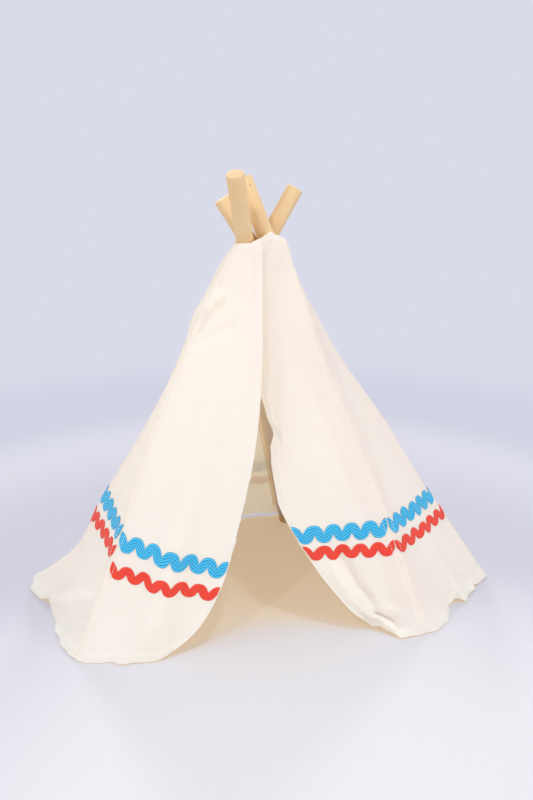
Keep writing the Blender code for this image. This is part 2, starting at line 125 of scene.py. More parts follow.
# Fineness of the cover's mesh, and the small steps that directions and distances are taken with
MESH_STEP = 2.3 * MM
EDGE_STEPS = (0.0, 0.5, 1.2, 2.2, 3.4, 4.7, 5.9, 6.6, 7.4, 8.8)
PROBE = 0.4 * MM
LEAST_WIDTH = 10 * PROBE
SHARE_PROBE = 0.0005
BESIDE = 1e-4
TINY = 1e-12
HEM_MARKS = 121

# Sleeves sewn inside the seams, from the first to the second share of the rib's length. They
# take at most SLEEVE_ROOM of a panel's width.
SLEEVE_WALL = 0.7 * MM
SLEEVE_CLEARANCE = 0.35 * MM
SLEEVE_HALF_WIDTH = 16.0 * MM
SLEEVE_TURN = 5.0 * MM
SLEEVE_ROOM = 0.48
SLEEVE_REACH = (0.235, 0.957)
SLEEVE_ROWS = 90
SLEEVE_ARC = 14
SLEEVE_RIPPLE = (17, 0.3, 21)

# Rickrack braid: width of each band and its swing to each side. BAND_MARKS and LINE_MARKS are
# how finely its edge and its length are measured.
BRAIDS = {"blue": (8.7 * MM, 4.2 * MM), "red": (7.8 * MM, 3.1 * MM)}
BRAID_PITCH = 17.6 * MM
BRAID_RIBS = 5
RIB_DEPTH = 0.18
CREST_FULLNESS = 1.4
BRAID_HEIGHT = 1.0 * MM
BRAID_EDGE_SHARE = 0.42
BRAID_WALL = 0.38 * MM
BRAID_MARGIN = 1.2 * MM
BRAID_STEPS = 24
BRAID_ROWS = 21
BAND_MARKS = 41
LINE_MARKS = 40
TRIM_HEIGHT = 100.0 * MM
TRIM_GAP = 4.6 * MM

# Stitches. A row beside a seam stops where its inset takes STITCH_ROOM of the panel's width.
STITCH_PITCH = 3.0 * MM
STITCH_SIZE = (1.05 * MM, 0.24 * MM, 0.2 * MM)
STITCH_LIFT = STITCH_SIZE[2] * 0.4
STITCH_INSET = 5.2 * MM
STITCH_ROOM = 0.4
STITCH_MARKS = 160

# Camera
CAMERA_FROM_COVER = (0.0076, -0.76, 0.4685)
CAMERA_FALL = 18.6
CAMERA_LENS = 39.24

# Room light, and lamps: name, place, target, width in metres, power in watts and colour
ROOM_COLOUR = (0.92, 0.965, 1.0)
ROOM_STRENGTH = 0.58
LAMP_COOL = (0.94, 0.975, 1.0)
LAMP_WARM = (1.0, 0.99, 0.96)
LAMPS = (
    ("front_right_lamp", (2.1, -1.3, 0.9), (0, 0, 0.15), 1.2, 22.0, LAMP_COOL),
    ("front_left_lamp", (-2.0, -1.2, 0.9), (0, 0, 0.15), 1.2, 16.0, LAMP_COOL),
    ("high_right_lamp", (0.37, -0.73, 2.25), (0, 0, 0), 0.14, 11.0, LAMP_COOL),
    ("high_left_lamp", (-0.75, -1.35, 1.8), (0, 0, 0), 0.14, 8.8, LAMP_COOL),
    ("back_left_lamp", (-0.5, 1.6, 1.2), (0, 0, 0.12), 0.4, 8.5, LAMP_WARM),
    ("back_right_lamp", (0.6, 1.55, 1.2), (0, 0, 0.12), 0.4, 7.5, LAMP_WARM),
)

# Backdrop. Over the spans of SWEEP, outwards from the middle, the lit floor gives way to a plain
# colour, which turns from the first of SWEEP_COLOURS to the second and then to the backdrop's.
FLOOR_REACH = 6.0
BACKDROP_COLOUR = (0.70, 0.71, 0.82)
SWEEP = ((0.28, 0.52), (0.46, 0.64), (0.66, 0.95))
SWEEP_COLOURS = ((0.735, 0.735, 0.825), (0.64, 0.655, 0.775))

# Finishes: pale, deep and passed-on colours, as light reflected in red, green and blue. A relief
# is its strength and depth, and a roughness that varies is its change and its start.
SPECULAR = 0.25
CLOTH_THROUGH = 0.38
BRAID_THROUGH = 0.07
LAYER_THROUGH = 0.95
MOTTLE_DETAIL = 4.0
MOTTLE_ROUGHNESS = 0.55
MOTTLE_ENDS = (0.3, 0.7)

CANVAS_COLOURS = ((0.99, 0.985, 0.98), (0.98, 0.965, 0.94), (0.985, 0.90, 0.72))
SLEEVE_COLOURS = ((0.97, 0.94, 0.88), (0.94, 0.90, 0.82), (0.97, 0.87, 0.70))
THREADS_PER_METRE = 2100.0
SLUB_NOISE = (0.8, 2.0)
SLUB_STRETCHES = ((1.0, 0.03, 1.0), (0.03, 1.0, 1.0))
SLUB_HEIGHT = 0.6
SLUB_SHARE = 0.5
SHADE_SHARE = 0.35
COTTON_MOTTLE = 11.0
COTTON_SHEEN = 0.12
COTTON_ROUGHNESS = (-0.08, 0.96)
COTTON_RELIEF = (0.35, 0.12 * MM)

# The braids' deep colours fill the grooves between their ribs as painted shade
BLUE_COLOURS = ((0.05, 0.62, 0.92), (0.0, 0.17, 0.45), (0.80, 0.86, 0.86))
RED_COLOURS = ((0.96, 0.065, 0.042), (0.64, 0.018, 0.012), (0.95, 0.80, 0.72))
BRAID_CONTRAST = {"blue": 1.0, "red": 0.85}
GROOVE_ENDS = (0.50, 0.95)
PLAIT_PITCH = 1.5 * MM
PLAIT_LEAN = 1.3
PLAIT_SHARE = 0.10
BRAID_SHADE_SHARE = 0.08
BRAID_MOTTLE = 60.0
BRAID_SHEEN = 0.15
BRAID_ROUGHNESS = (-0.12, 0.8)
BRAID_RELIEF = (0.45, 0.2 * MM)

THREAD_COLOURS = ((0.95, 0.92, 0.86), (0.80, 0.75, 0.67))
TWIST_SCALE = 2600.0
THREAD_ROUGHNESS = 0.8
THREAD_RELIEF = (0.4, 0.1 * MM)

# Marks on the wood: place in its grain, half sizes and darkness. A small knot, then a painted shadow of the
# crossing pole
WOOD_LIGHT = (0.84, 0.60, 0.34)
WOOD_LATE = (0.82, 0.575, 0.315)
WOOD_DEEP = (0.68, 0.42, 0.18)
KNOT_AND_SHADOW_COLOUR = (0.42, 0.22, 0.08)
KNOT_AND_SHADOW_MARKS = (
    ((0.0046, 0.0064, 1.9988), (0.0011, 0.0011, 0.0013), 0.7),
    ((0.0078, 0.0016, 1.9725), (0.0034, 0.0034, 0.0130), 0.22),
)
MARK_ENDS = (1.0, 0.35)
RING_CENTRE = (19.0 * MM, 13.0 * MM)
RING_PITCH = 2.3 * MM
RING_DRIFT = 2.4 * MM
DRIFT_STRETCH = (60, 60, 4.0)
LATE_ENDS = (0.35, 0.96)
FIBRE_STRETCH = (2600, 2600, 55)
PORE_ENDS = (0.56, 0.74)
PORE_SHARE = 0.45
WOOD_SHADE_SHARE = 0.35
WOOD_MOTTLE = 30.0
WOOD_ROUGHNESS = (0.22, 0.45)
WOOD_RELIEF = (0.3, 0.12 * MM)

# The floor's colour darkens from FLOOR_NEAR to FLOOR_FAR away from FLOOR_MIDDLE, over FLOOR_SPREAD: a
# painted fall-off of light
FLOOR_NEAR = (0.765, 0.735, 0.755)
FLOOR_FAR = (0.55, 0.53, 0.60)
FLOOR_MIDDLE = (0.05, -0.30, 0.0)
FLOOR_SPREAD = (0.10, 0.55)
FLECK_NOISE = (320.0, 3.0)
FLECK_SHARE = 0.2
FLOOR_ROUGHNESS = 0.85
FLOOR_RELIEF = (0.1, 0.2 * MM)

# Painted warm light on the floor under the cloth, seen only by the camera: it grows as the share
# of open room within GLOW_REACH falls from the first to the second of GLOW_FADE
GLOW_REACH = 0.35
GLOW_SAMPLES = 16
GLOW_FADE = (0.56, 0.27)
GLOW_SHARE = 0.5
GLOW_COLOUR = (0.86, 0.62, 0.36)

# Feet as shares of BASE_REACH, then places at WAIST_HEIGHT as shares of POLE_DIAMETER
POLE_SHARES = {
    "back": ((0.155, 0.9175), (-0.63, 2.01)),
    "back_right": ((1.0725, 0.29), (-0.09, 3.05)),
    "front_right": ((0.7475, -0.1875), (0.85, 2.36)),
    "left": ((-0.9525, 0.0425), (0.16, 4.16)),
}
POLE_LENGTH_SHARES = {"back": 1.0, "back_right": 1.01, "front_right": 0.98, "left": 1.008}

# Ribs without a pole: foot as shares of BASE_REACH, neck as shares of POLE_DIAMETER
FREE_RIB_SHARES = {
    "door_left": ((-0.225, -0.45), (0.16, 0.69)),
    "front_left": ((-0.82, -0.465), (-1.26, 1.07)),
    "door_right": ((0.23, -0.30), (-0.31, 1.0)),
}

# Each rib leaves its line by these shares of SEAM_STANDOFF, (x, y), at these shares of the height
STATION_SHARES = (1.0, 0.94, 0.85, 0.79, 0.70, 0.50, 0.30, 0.14, 0.05, 0.0)
RIB_OFFSET_SHARES = {
    "door_left": (
        (0, 0), (0.20, 0), (0.42, 0), (0.57, 0), (0.77, 0), (0.92, 0), (0.60, 0), (0.25, 0),
        (0.10, 0), (0, 0),
    ),
    "front_left": (
        (0, 0), (-0.12, 0.02), (-0.28, 0.10), (-0.38, 0.05), (-0.50, 0), (-0.50, -0.05), (-0.15, 0),
        (0, 0), (0.05, -0.10), (-0.10, -0.20),
    ),
    "left": (
        (-1.34, -0.22), (-1.60, -0.10), (-1.58, -0.10), (-1.61, -0.10), (-1.20, -0.05), (-1.0, 0),
        (-1.23, 0), (-1.28, -0.02), (-2.10, 1.10), (-2.45, 2.20),
    ),
    "back": (
        (1.09, 3.12), (0.77, 2.60), (0.42, 1.95), (0.29, 1.56), (0.20, 1.20), (0.15, 1.0),
        (0.15, 0.97), (0.17, 1.0), (0.20, 1.05), (0.20, 1.15),
    ),
    "back_right": (
        (1.95, 1.10), (1.45, 0.67), (1.04, 0.32), (0.98, 0.20), (0.90, 0.10), (1.15, 0),
        (1.12, -0.10), (1.25, -0.18), (1.30, -0.25), (1.35, -0.30),
    ),
    "front_right": (
        (0.82, -0.40), (0.75, -0.55), (0.70, -0.80), (0.60, -0.85), (0.50, -0.85), (0.55, -0.76),
        (0.58, -0.80), (0.50, -0.90), (0.45, -0.93), (0.43, -0.98),
    ),
    "door_right": (
        (0, 0), (-0.15, 0), (-0.38, 0), (-0.52, 0), (-0.62, 0), (-0.58, 0), (-0.45, 0), (-0.20, 0),
        (-0.08, 0), (0, 0),
    ),
}

# Neck edge of each rib as a share of COVER_HEIGHT
NECK_SHARES = {
    "door_left": 1.0,
    "front_left": 0.995,
    "left": 0.985,
    "back": 0.985,
    "back_right": 0.965,
    "front_right": 1.015,
    "door_right": 1.0,
}

# Panels, clockwise from the door: the ribs that bound each, its outward belly, its folds as waves
# across it with a phase, and both depths as shares of FOLD_DEPTH. A flap's lower door corner is
# cut round over these shares of its width and height, with this power.
PANELS = {
    "left_flap": {
        "ribs": ("door_left", "front_left"),
        "belly_share": 0.5,
        "fold_shares": ((0.5, 0.0, 1.1),),
        "corner_shares": (0.42, 0.235, 2.0),
    },
    "left_side_panel": {
        "ribs": ("front_left", "left"),
        "belly_share": -0.15,
        "fold_shares": ((1.0, 0.0, 0.35),),
    },
    "back_left_panel": {
        "ribs": ("left", "back"),
        "belly_share": 0.5,
        "fold_shares": ((2.5, 0.0, 0.6), (1.0, 0.1, 0.3)),
    },
    "back_right_panel": {
        "ribs": ("back", "back_right"),
        "belly_share": 0.4,
        "fold_shares": ((3.0, 0.15, 0.5), (1.0, 0.5, 0.3)),
    },
    "right_side_panel": {
        "ribs": ("back_right", "front_right"),
        "belly_share": 0.1,
        "fold_shares": ((2.5, 0.05, 0.25),),
    },
    "right_flap": {
        "ribs": ("front_right", "door_right"),
        "belly_share": 0.35,
        "fold_shares": ((1.5, 0.1, 0.25),),
        "corner_shares": (0.56, 0.35, 1.2),
    },
}

# Middle of the blue braid at a panel's two ribs as shares of TRIM_HEIGHT, then the clear gap down
# to the red one as shares of TRIM_GAP
TRIM_SHARES = {
    "left_flap": ((0.74, 1.01), (1.2, 2.0)),
    "left_side_panel": ((1.06, 1.09), (0.2, 0.8)),
    "back_left_panel": ((1.0, 0.83), (1.4, 1.4)),
    "back_right_panel": ((0.83, 0.93), (1.4, 1.0)),
    "right_side_panel": ((0.95, 0.99), (0.8, 0.8)),
    "right_flap": ((0.99, 0.94), (0.7, 0.2)),
}

# Creases of each panel as points (u, v), half width and rise in mm: falls where it is negative
CREASES = {
    "left_flap": (
        (((1.0, 0.235), (0.87, 0.188), (0.78, 0.16), (0.66, 0.125)), 3.2, -3.4),
        (((1.0, 0.175), (0.9, 0.140), (0.78, 0.105)), 9.0, 3.4),
        (((0.9, 0.255), (0.78, 0.225), (0.535, 0.205), (0.30, 0.187)), 5.0, -2.2),
    ),
    "left_side_panel": (
        (((0.97, 0.27), (0.85, 0.24), (0.6, 0.19)), 4.0, -1.8),
        (((0.72, 1.02), (0.56, 0.963), (0.31, 0.905), (0.0, 0.855)), 6.0, 3.6),
        (((0.52, 1.03), (0.32, 0.972), (0.14, 0.94), (0.0, 0.92)), 8.0, -4.0),
    ),
    "right_flap": (
        (((0.58, 0.75), (0.51, 0.82), (0.46, 0.873), (0.40, 0.905), (0.37, 0.955)), 5.0, -4.2),
        (((0.66, 0.80), (0.57, 0.87), (0.49, 0.93)), 6.0, 2.2),
        (((0.42, 0.945), (0.34, 0.957), (0.24, 0.968), (0.10, 0.978)), 2.6, -5.5),
        (((0.34, 0.925), (0.22, 0.94), (0.10, 0.95)), 4.5, 1.6),
        (((1.0, 0.478), (0.93, 0.482), (0.85, 0.488)), 6.0, -0.8),
        (((1.0, 0.452), (0.94, 0.452), (0.86, 0.458)), 5.0, 0.8),
    ),
    "right_side_panel": ((((0.40, 0.93), (0.30, 0.965), (0.24, 0.985)), 3.5, -2.6),),
}

# How far the neck edge rises, in mm, at shares of a panel's width
NECK_RISE = {
    "right_flap": ((0, -3), (0.1, -1.5), (0.2, 0), (0.36, 4), (0.5, 2.8), (0.7, 1.2), (1, 0)),
    "right_side_panel": ((0, -3), (0.5, -4), (1, -3)),
    "back_right_panel": ((0, 0), (0.7, 0), (1, -3)),
}
NECK_FADE = 55.0 * MM

# How far the hem lies from its line, in mm, at shares of a panel's width: along, outwards and up
HEM_SHIFTS = {
    "left_flap": (
        (0, 0, 0, 0), (0.32, 0, 0, 0), (0.44, 0, -3, 0), (0.54, 0, -3, 0), (0.68, 0, 5, 0),
        (0.78, 0, 8, 0), (0.88, 0, 7, 0), (0.96, 0, 3, 0), (1, 0, 0, 0),
    ),
    "left_side_panel": (
        (0, 0, 0, 0), (0.08, 0, 2, 0), (0.15, 0, 4, 0), (0.27, 0, 0, 0), (0.55, 0, 0, 0),
        (0.64, 0, -1, 2), (0.71, 0, 7, 0.5), (0.82, 0, 7, 0), (0.92, 0, 2, 0), (1, 0, 0, 0),
    ),
    "back_left_panel": (
        (0, 0, 0, 0), (0.5, 0, 0, 0), (0.66, 0, 9, 1), (0.78, 0, 17, 3), (0.86, 0, 7, 3),
        (0.93, 0, 1, 2.5), (1, 0, 0, 0),
    ),
    "right_flap": (
        (0, 0, 0, 0), (0.12, 0, 4, 0.5), (0.21, 2, 8, 1), (0.30, 3, -1, 3), (0.37, 2, -6, 4.5),
        (0.46, 0, -7, 2.5), (0.6, 0, -2, 1), (0.8, 0, 0, 0), (1, 0, 0, 0),
    ),
    "right_side_panel": (
        (0, 0, 0, 0), (0.18, 0, -1, 0), (0.23, 0, -3, 2), (0.27, 0, 3, 1), (0.40, 0, 2, 0),
        (0.46, 0, 3, 0.5), (0.50, 0, -6, 3.5), (0.56, 0, -6, 1), (0.66, 0, 3, 0), (0.78, 0, 6, 0),
        (0.9, 0, 6, 0), (1, 0, 0, 0),
    ),
}
HEM_SHIFT_REACH = {
    "left_flap": 40.0 * MM,
    "left_side_panel": 26.0 * MM,
    "back_left_panel": 110.0 * MM,
    "right_flap": 20.0 * MM,
    "right_side_panel": 34.0 * MM,
}

# Where a flap's door edge is drawn back, in mm, at shares of its length
DOOR_BULGES = {
    "right_flap": ((0, 0), (0.36, 0), (0.425, 3.0), (0.476, 6.5), (0.515, 1.5), (0.56, 0), (1, 0)),
}
DOOR_BULGE_SHARE = 0.22

# Bodies that a panel stretches between as the poles fold, from its first rib to its last, or the
# one body that it rides
PANEL_BODIES = {
    "left_flap": ("left_flap",),
    "left_side_panel": ("left",),
    "back_left_panel": ("left", "back"),
    "back_right_panel": ("back", "back_right"),
    "right_side_panel": ("back_right", "front_right"),
    "right_flap": ("right_flap",),
}

# The rib of its two that a flap turns about, and how far down the flap the way across it is taken
FLAP_HINGES = {"left_flap": 1, "right_flap": 0}
SQUASH_DEPTH = 0.6


def unit(vectors):
    return vectors / np.linalg.norm(vectors, axis=-1, keepdims=True)


def smooth_step(t):
    """0 up to t = 0, 1 from t = 1 on, and smooth between."""
    t = np.clip(t, 0, 1)
    return t * t * (3 - 2 * t)


def smooth_through(stations, values, at):
    """Values at heights on the smooth curve through the stations, which fall from neck to hem."""
    stations = np.array(stations[::-1], float)
    values = np.array(values[::-1], float)
    at = np.clip(at, stations[0], stations[-1])
    slopes = np.gradient(values, stations, axis=0)
    i = np.clip(np.searchsorted(stations, at) - 1, 0, len(stations) - 2)
    span = (stations[i + 1] - stations[i])[..., None]
    t = (at - stations[i])[..., None] / span
    start = (1 + 2 * t) * (1 - t) ** 2 * values[i] + t * (1 - t) ** 2 * span * slopes[i]
    end = t * t * (3 - 2 * t) * values[i + 1] - t * t * (1 - t) * span * slopes[i + 1]
    return start + end


def line_ends(rib):
    """Foot and top of the straight line that a rib follows."""
    pole = rib in POLE_SHARES
    foot, waist = (POLE_SHARES if pole else FREE_RIB_SHARES)[rib]
    low = np.array((foot[0] * BASE_REACH, foot[1] * BASE_REACH, 0))
    top = WAIST_HEIGHT if pole else COVER_HEIGHT
    return low, np.array((waist[0] * POLE_DIAMETER, waist[1] * POLE_DIAMETER, top))


def line_points(rib, height):
    low, high = line_ends(rib)
    return low + (high - low) * (height / high[2])[..., None]


def rib_points(rib, v):
    """Points of a rib, from the neck edge at v = 0 down to the hem at v = 1."""
    v = np.asarray(v, float)
    height = COVER_HEIGHT * NECK_SHARES[rib] * (1 - v) + HEM_CLEARANCE * v
    offset = smooth_through(STATION_SHARES, RIB_OFFSET_SHARES[rib], height / COVER_HEIGHT)
    points = line_points(rib, height)
    points[..., :2] += offset * SEAM_STANDOFF
    return points


def rib_beside(rib, side):
    """Rib at the far side of the panel before (side 0) or after (side 1) a rib, or None."""
    for shape in PANELS.values():
        first, last = shape["ribs"]
        if side == 1 and first == rib:
            return last
        if side == 0 and last == rib:
            return first
    return None


def is_sewn(rib):
    """Whether two panels meet at a rib. The door's edges are free."""
    return rib_beside(rib, 0) is not None and rib_beside(rib, 1) is not None


def panel_chord(panel, v):
    """Start of a panel's width at each v, and the way across it."""
    first, last = PANELS[panel]["ribs"]
    start = rib_points(first, v)
    return start, rib_points(last, v) - start


def panel_width(panel, v):
    return np.linalg.norm(panel_chord(panel, v)[1], axis=-1)


def panel_length(panel):
    """Rough length of a panel from the neck edge to the hem."""
    ribs = PANELS[panel]["ribs"]
    neck, hem = (sum(rib_points(rib, v) for rib in ribs) / 2 for v in (0, 1))
    return float(np.linalg.norm(hem - neck))


def ridge_shift(panel, side, u, v):
    """Moves points near a sewn rib onto the round ridge that two neighbouring panels share."""
    ribs = PANELS[panel]["ribs"]
    corner = rib_points(ribs[side], v)
    own = rib_points(ribs[1 - side], v) - corner
    other = rib_points(rib_beside(ribs[side], side), v) - corner
    widths = [np.linalg.norm(way, axis=-1) for way in (own, other)]
    own, other = unit(own), unit(other)
    reach = np.minimum(RIDGE_REACH, np.minimum(*widths) * RIDGE_SHARE)
    distance = np.clip(u if side == 0 else 1 - u, 0, None) * widths[0]
    t = (np.clip(1 - distance / reach, 0, 1) / 2)[..., None]
    rounded = (own * (1 - t) ** 2 + other * t * t) * reach[..., None]
    straight = own * np.minimum(distance, reach)[..., None]
    return rounded - straight + unit(own - other) * t * SEAM_GAP


def shares_at(table, u):
    """Rows of a table of (u, value, ...) at shares u, smooth between its rows."""
    rows = np.array(table, float)
    order = rows[:, 0]
    k = np.clip(np.searchsorted(order, u, side="right") - 1, 0, len(order) - 2)
    t = smooth_step((u - order[k]) / (order[k + 1] - order[k]))
    return [rows[k, i] * (1 - t) + rows[k + 1, i] * t for i in range(1, rows.shape[1])]


def neck_shift(panel, u, v):
    """Share of the length by which the cloth near the neck moves up."""
    if panel not in NECK_RISE:
        return 0
    length = panel_length(panel)
    rise, = shares_at(NECK_RISE[panel], u)
    return rise * MM / length * (1 - smooth_step(v * length / NECK_FADE))


def hem_shift(panel, u, v, along, outward):
    """The way that the cloth near the hem is pushed along, outwards and up."""
    if panel not in HEM_SHIFTS:
        return 0
    reach = HEM_SHIFT_REACH[panel] / panel_length(panel)
    fade = smooth_step(1 - (hem_v(panel, u) - v) / reach)
    across, out, up = (row * MM * fade for row in shares_at(HEM_SHIFTS[panel], u))
    ways = (unit(along), outward, np.array((0.0, 0.0, 1.0)))
    return sum(way * amount[..., None] for way, amount in zip(ways, (across, out, up)))


def door_shift(panel, u, v, along):
    """The way that the cloth beside the door is drawn back from it."""
    if panel not in DOOR_BULGES:
        return 0
    back, = shares_at(DOOR_BULGES[panel], v)
    from_door = u if FLAP_HINGES[panel] else 1 - u
    fade = smooth_step(1 - from_door / DOOR_BULGE_SHARE)
    toward = 1 if FLAP_HINGES[panel] else -1
    return unit(along) * (toward * back * MM * fade)[..., None]


def cover_shape(panel, u, v):
    """Points of a panel's outside with its belly, its deep folds and its round ridges."""
    shape = PANELS[panel]
    down = v
    v = v - neck_shift(panel, u, v)
    start, along = panel_chord(panel, v)
    width = np.linalg.norm(along, axis=-1)
    outward = unit(np.stack((-along[..., 1], along[..., 0], 0 * v), -1))
    depth = shape["belly_share"] * np.sin(pi * v) * np.sin(pi * u)
    window = smooth_step((np.minimum(u, 1 - u) * width - FOLD_MARGIN) / FOLD_EASE)
    for waves, phase, share in shape["fold_shares"]:
        depth = depth + share * np.sin(2 * pi * (waves * u + phase)) * down ** FOLD_POWER * window
    points = start + along * u[..., None] + outward * (FOLD_DEPTH * depth)[..., None]
    for side in (0, 1):
        if is_sewn(shape["ribs"][side]):
            points = points + ridge_shift(panel, side, u, v)
    return points + hem_shift(panel, u, down, along, outward) + door_shift(panel, u, down, along)


def hem_v(panel, u):
    """Share of the length at which the hem lies: a flap's lower door corner is cut round."""
    u = np.asarray(u, float)
    if "corner_shares" not in PANELS[panel]:
        return np.ones_like(u)
    width, height, power = PANELS[panel]["corner_shares"]
    from_door = u if FLAP_HINGES[panel] else 1 - u
    t = 1 - np.clip(from_door / width, 0, 1)
    return 1 - height * (1 - (1 - t ** power) ** (1 / power))


def door_inset(panel, v):
    """Share of a flap's width that its cut corner takes off beside the door, at each v."""
    width, height, power = PANELS[panel]["corner_shares"]
    lift = np.clip((1 - np.asarray(v, float)) / height, 0, 1)
    return width * (1 - (1 - (1 - lift) ** power) ** (1 / power))


def hem_distance(panel, u, v):
    """Distance on the cloth from points to the hem, round the cut corner of a flap too."""
    marks = np.linspace(0, 1, HEM_MARKS)
    length = panel_length(panel)
    width = panel_width(panel, v)
    nearest = np.full(np.shape(u), np.inf)
    for mark, depth in zip(marks, hem_v(panel, marks)):
        nearest = np.minimum(nearest, np.hypot((u - mark) * width, (v - depth) * length))
    return nearest


def sides_distance(panel, u, v, sewn, nearest=np.inf):
    """Distance to the nearest sewn or free side of a panel, or a nearer distance already known."""
    nearest = np.full(np.shape(u), nearest)
    for side, rib in enumerate(PANELS[panel]["ribs"]):
        if is_sewn(rib) == sewn:
            nearest = np.minimum(nearest, np.abs(u - side) * panel_width(panel, v))
    return nearest


def edge_distance(panel, u, v):
    """Distance to the nearest free edge: the hem, the neck edge or the door's edge."""
    nearest = np.minimum(hem_distance(panel, u, v), v * panel_length(panel))
    return sides_distance(panel, u, v, False, nearest)


def soft_noise(points, seed, height, length):
    """Smooth heights at points, from waves of about one length that run every way."""
    draw = np.random.default_rng(seed)
    total = np.zeros(points.shape[:-1])
    for _ in range(NOISE_WAVES):
        way = unit(draw.normal(size=3)) * draw.uniform(*NOISE_SPREAD) * 2 * pi / (length * MM)
        total += np.sin(points @ way + draw.uniform(0, 2 * pi))
    return height * MM * (total / NOISE_WAVES ** 0.5)


def crease_rise(panel, u, v):
    """Height that the named creases add to a panel."""
    width = panel_width(panel, v)
    length = panel_length(panel)
    rise = np.zeros(np.shape(u))
    for path, half_width, height in CREASES.get(panel, ()):
        nearest = np.full(np.shape(u), np.inf)
        share = np.zeros(np.shape(u))
        for k, ((u0, v0), (u1, v1)) in enumerate(zip(path, path[1:])):
            across, down = (u1 - u0) * width, (v1 - v0) * length
            x, y = (u - u0) * width, (v - v0) * length
            t = np.clip((x * across + y * down) / (across ** 2 + down ** 2 + TINY), 0, 1)
            gap = np.hypot(x - across * t, y - down * t)
            share = np.where(gap < nearest, (k + t) / (len(path) - 1), share)
            nearest = np.minimum(gap, nearest)
        ends = smooth_step(share / CREASE_FADE) * smooth_step((1 - share) / CREASE_FADE)
        rise += height * MM * np.exp(-(nearest / (half_width * MM)) ** 2) * ends
    return rise


def turned_share(edge, start):
    """How far the cloth at a distance from its edge is turned over: 1 at the edge, 0 inside."""
    return smooth_step((HEM_TURN + start - edge) / TURN_SLOPE)


def cloth_relief(panel, u, v, points):
    """Height of the small forms of the cloth: soft waves, puckers, wavy hem and turned edges."""
    seam = sides_distance(panel, u, v, True)
    edge = edge_distance(panel, u, v)
    hem = hem_distance(panel, u, v)
    calm = smooth_step(v * NECK_CALM) * (1 - NECK_RELIEF) + NECK_RELIEF
    waves = sum(soft_noise(points, *wave) for wave in SOFT_WAVES)
    rise = waves * calm * smooth_step(seam / SEAM_CALM)
    for distance, (wave, reach) in zip((seam, edge, hem), PUCKERS):
        rise += soft_noise(points, *wave) * np.exp(-(distance / reach) ** 2) * calm
    return rise + HEM_RISE * turned_share(edge, RISE_START) + crease_rise(panel, u, v)


def cover_points(panel, u, v):
    """Points of a panel's outside as it is sewn, and the outward direction at each."""
    u, v = np.broadcast_arrays(np.asarray(u, float), np.asarray(v, float))
    points = cover_shape(panel, u, v)
    du = PROBE / np.maximum(panel_width(panel, v), LEAST_WIDTH)
    dv = PROBE / panel_length(panel)
    before, after = np.maximum(u - du, 0), np.minimum(u + du, 1)
    across = cover_shape(panel, after, v) - cover_shape(panel, before, v)
    down = cover_shape(panel, u, v + dv) - cover_shape(panel, u, np.clip(v - dv, 0, None))
    outward = unit(np.cross(across, down))
    points = points + outward * cloth_relief(panel, u, v, points)[..., None]
    points[..., 2] = np.maximum(points[..., 2], LOWEST)
    return points, outward


def outside(panel, u, v):
    """Points and outward directions of a panel's outside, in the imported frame."""
    points, outward = cover_points(panel, u, v)
    return points + COVER_PLACE, outward


def wave_height(panel, colour, u):
    """Height of the middle of a braid at a share of the panel's width."""
    blue, gap = TRIM_SHARES[panel]
    height = (blue[0] * (1 - u) + blue[1] * u) * TRIM_HEIGHT
    if colour == "blue":
        return height
    clear = (gap[0] * (1 - u) + gap[1] * u) * TRIM_GAP
    (blue_band, blue_swing), (red_band, red_swing) = BRAIDS["blue"], BRAIDS["red"]
    return height - clear - (blue_band + red_band) / 2 - blue_swing - red_swing


def braid_line(panel, colour, u):
    """Share of the way down a panel at which the middle of a braid lies."""
    return height_v(panel, u, wave_height(panel, colour, u))


def height_v(panel, u, height):
    """Share of the way from the neck edge to the hem at which a panel is at a height."""
    first, last = PANELS[panel]["ribs"]
    neck = COVER_HEIGHT * (NECK_SHARES[first] * (1 - u) + NECK_SHARES[last] * u)
    return (neck - height) / (neck - HEM_CLEARANCE)


def braid_end(panel, colour, side):
    """Share of the panel's width at which a braid starts (side 0) or stops (side 1)."""
    v = braid_line(panel, colour, side)
    inset = BRAID_MARGIN / float(panel_width(panel, v))
    if not is_sewn(PANELS[panel]["ribs"][side]):
        inset += float(door_inset(panel, v))
    return abs(side - inset)


def new_object(name, data):
    """An object of the scene that shows the data."""
    made = bpy.data.objects.new(name, data)
    bpy.context.scene.collection.objects.link(made)
    return made


def new_mesh_object(name, bm, look):
    """The finished bmesh as an object in its material."""
    mesh = bpy.data.meshes.new(name)
    bm.to_mesh(mesh)
    bm.free()
    mesh.materials.append(look)
    return new_object(name, mesh)


def write_values(mesh, name, values):
    found = mesh.attributes.get(name) or mesh.attributes.new(name, "FLOAT", "POINT")
    found.data.foreach_set("value", np.asarray(values, np.float32))


def read_values(mesh, name):
    values = np.zeros(len(mesh.vertices), np.float32)
    mesh.attributes[name].data.foreach_get("value", values)
    return values


def sheet_object(name, points, outward, share, weave, look):
    """A create_grid sheet laid on rows of points, outer side out, its weave as UVs in metres."""
    rows, columns = points.shape[:2]
    bm = bmesh.new()
    threads = bm.loops.layers.uv.new("weave")
    part = bm.verts.layers.float.new("share")
    bmesh.ops.create_grid(bm, x_segments=columns - 1, y_segments=rows - 1, size=1)
    order = sorted(bm.verts, key=lambda vert: (-round(vert.co.y, 5), round(vert.co.x, 5)))
    flat_points = points.reshape(-1, 3)
    flat_weave = weave.reshape(-1, 2)
    flat_share = share.reshape(-1)
    place = {}
    for index, vert in enumerate(order):
        vert.co = flat_points[index]
        vert[part] = flat_share[index]
        place[vert] = flat_weave[index]
    bm.normal_update()
    if sum(face.normal.dot(outward) for face in bm.faces) < 0:
        bmesh.ops.reverse_faces(bm, faces=bm.faces)
    for face in bm.faces:
        face.smooth = True
        for loop in face.loops:
            loop[threads].uv = place[loop.vert]
    return new_mesh_object(name, bm, look)


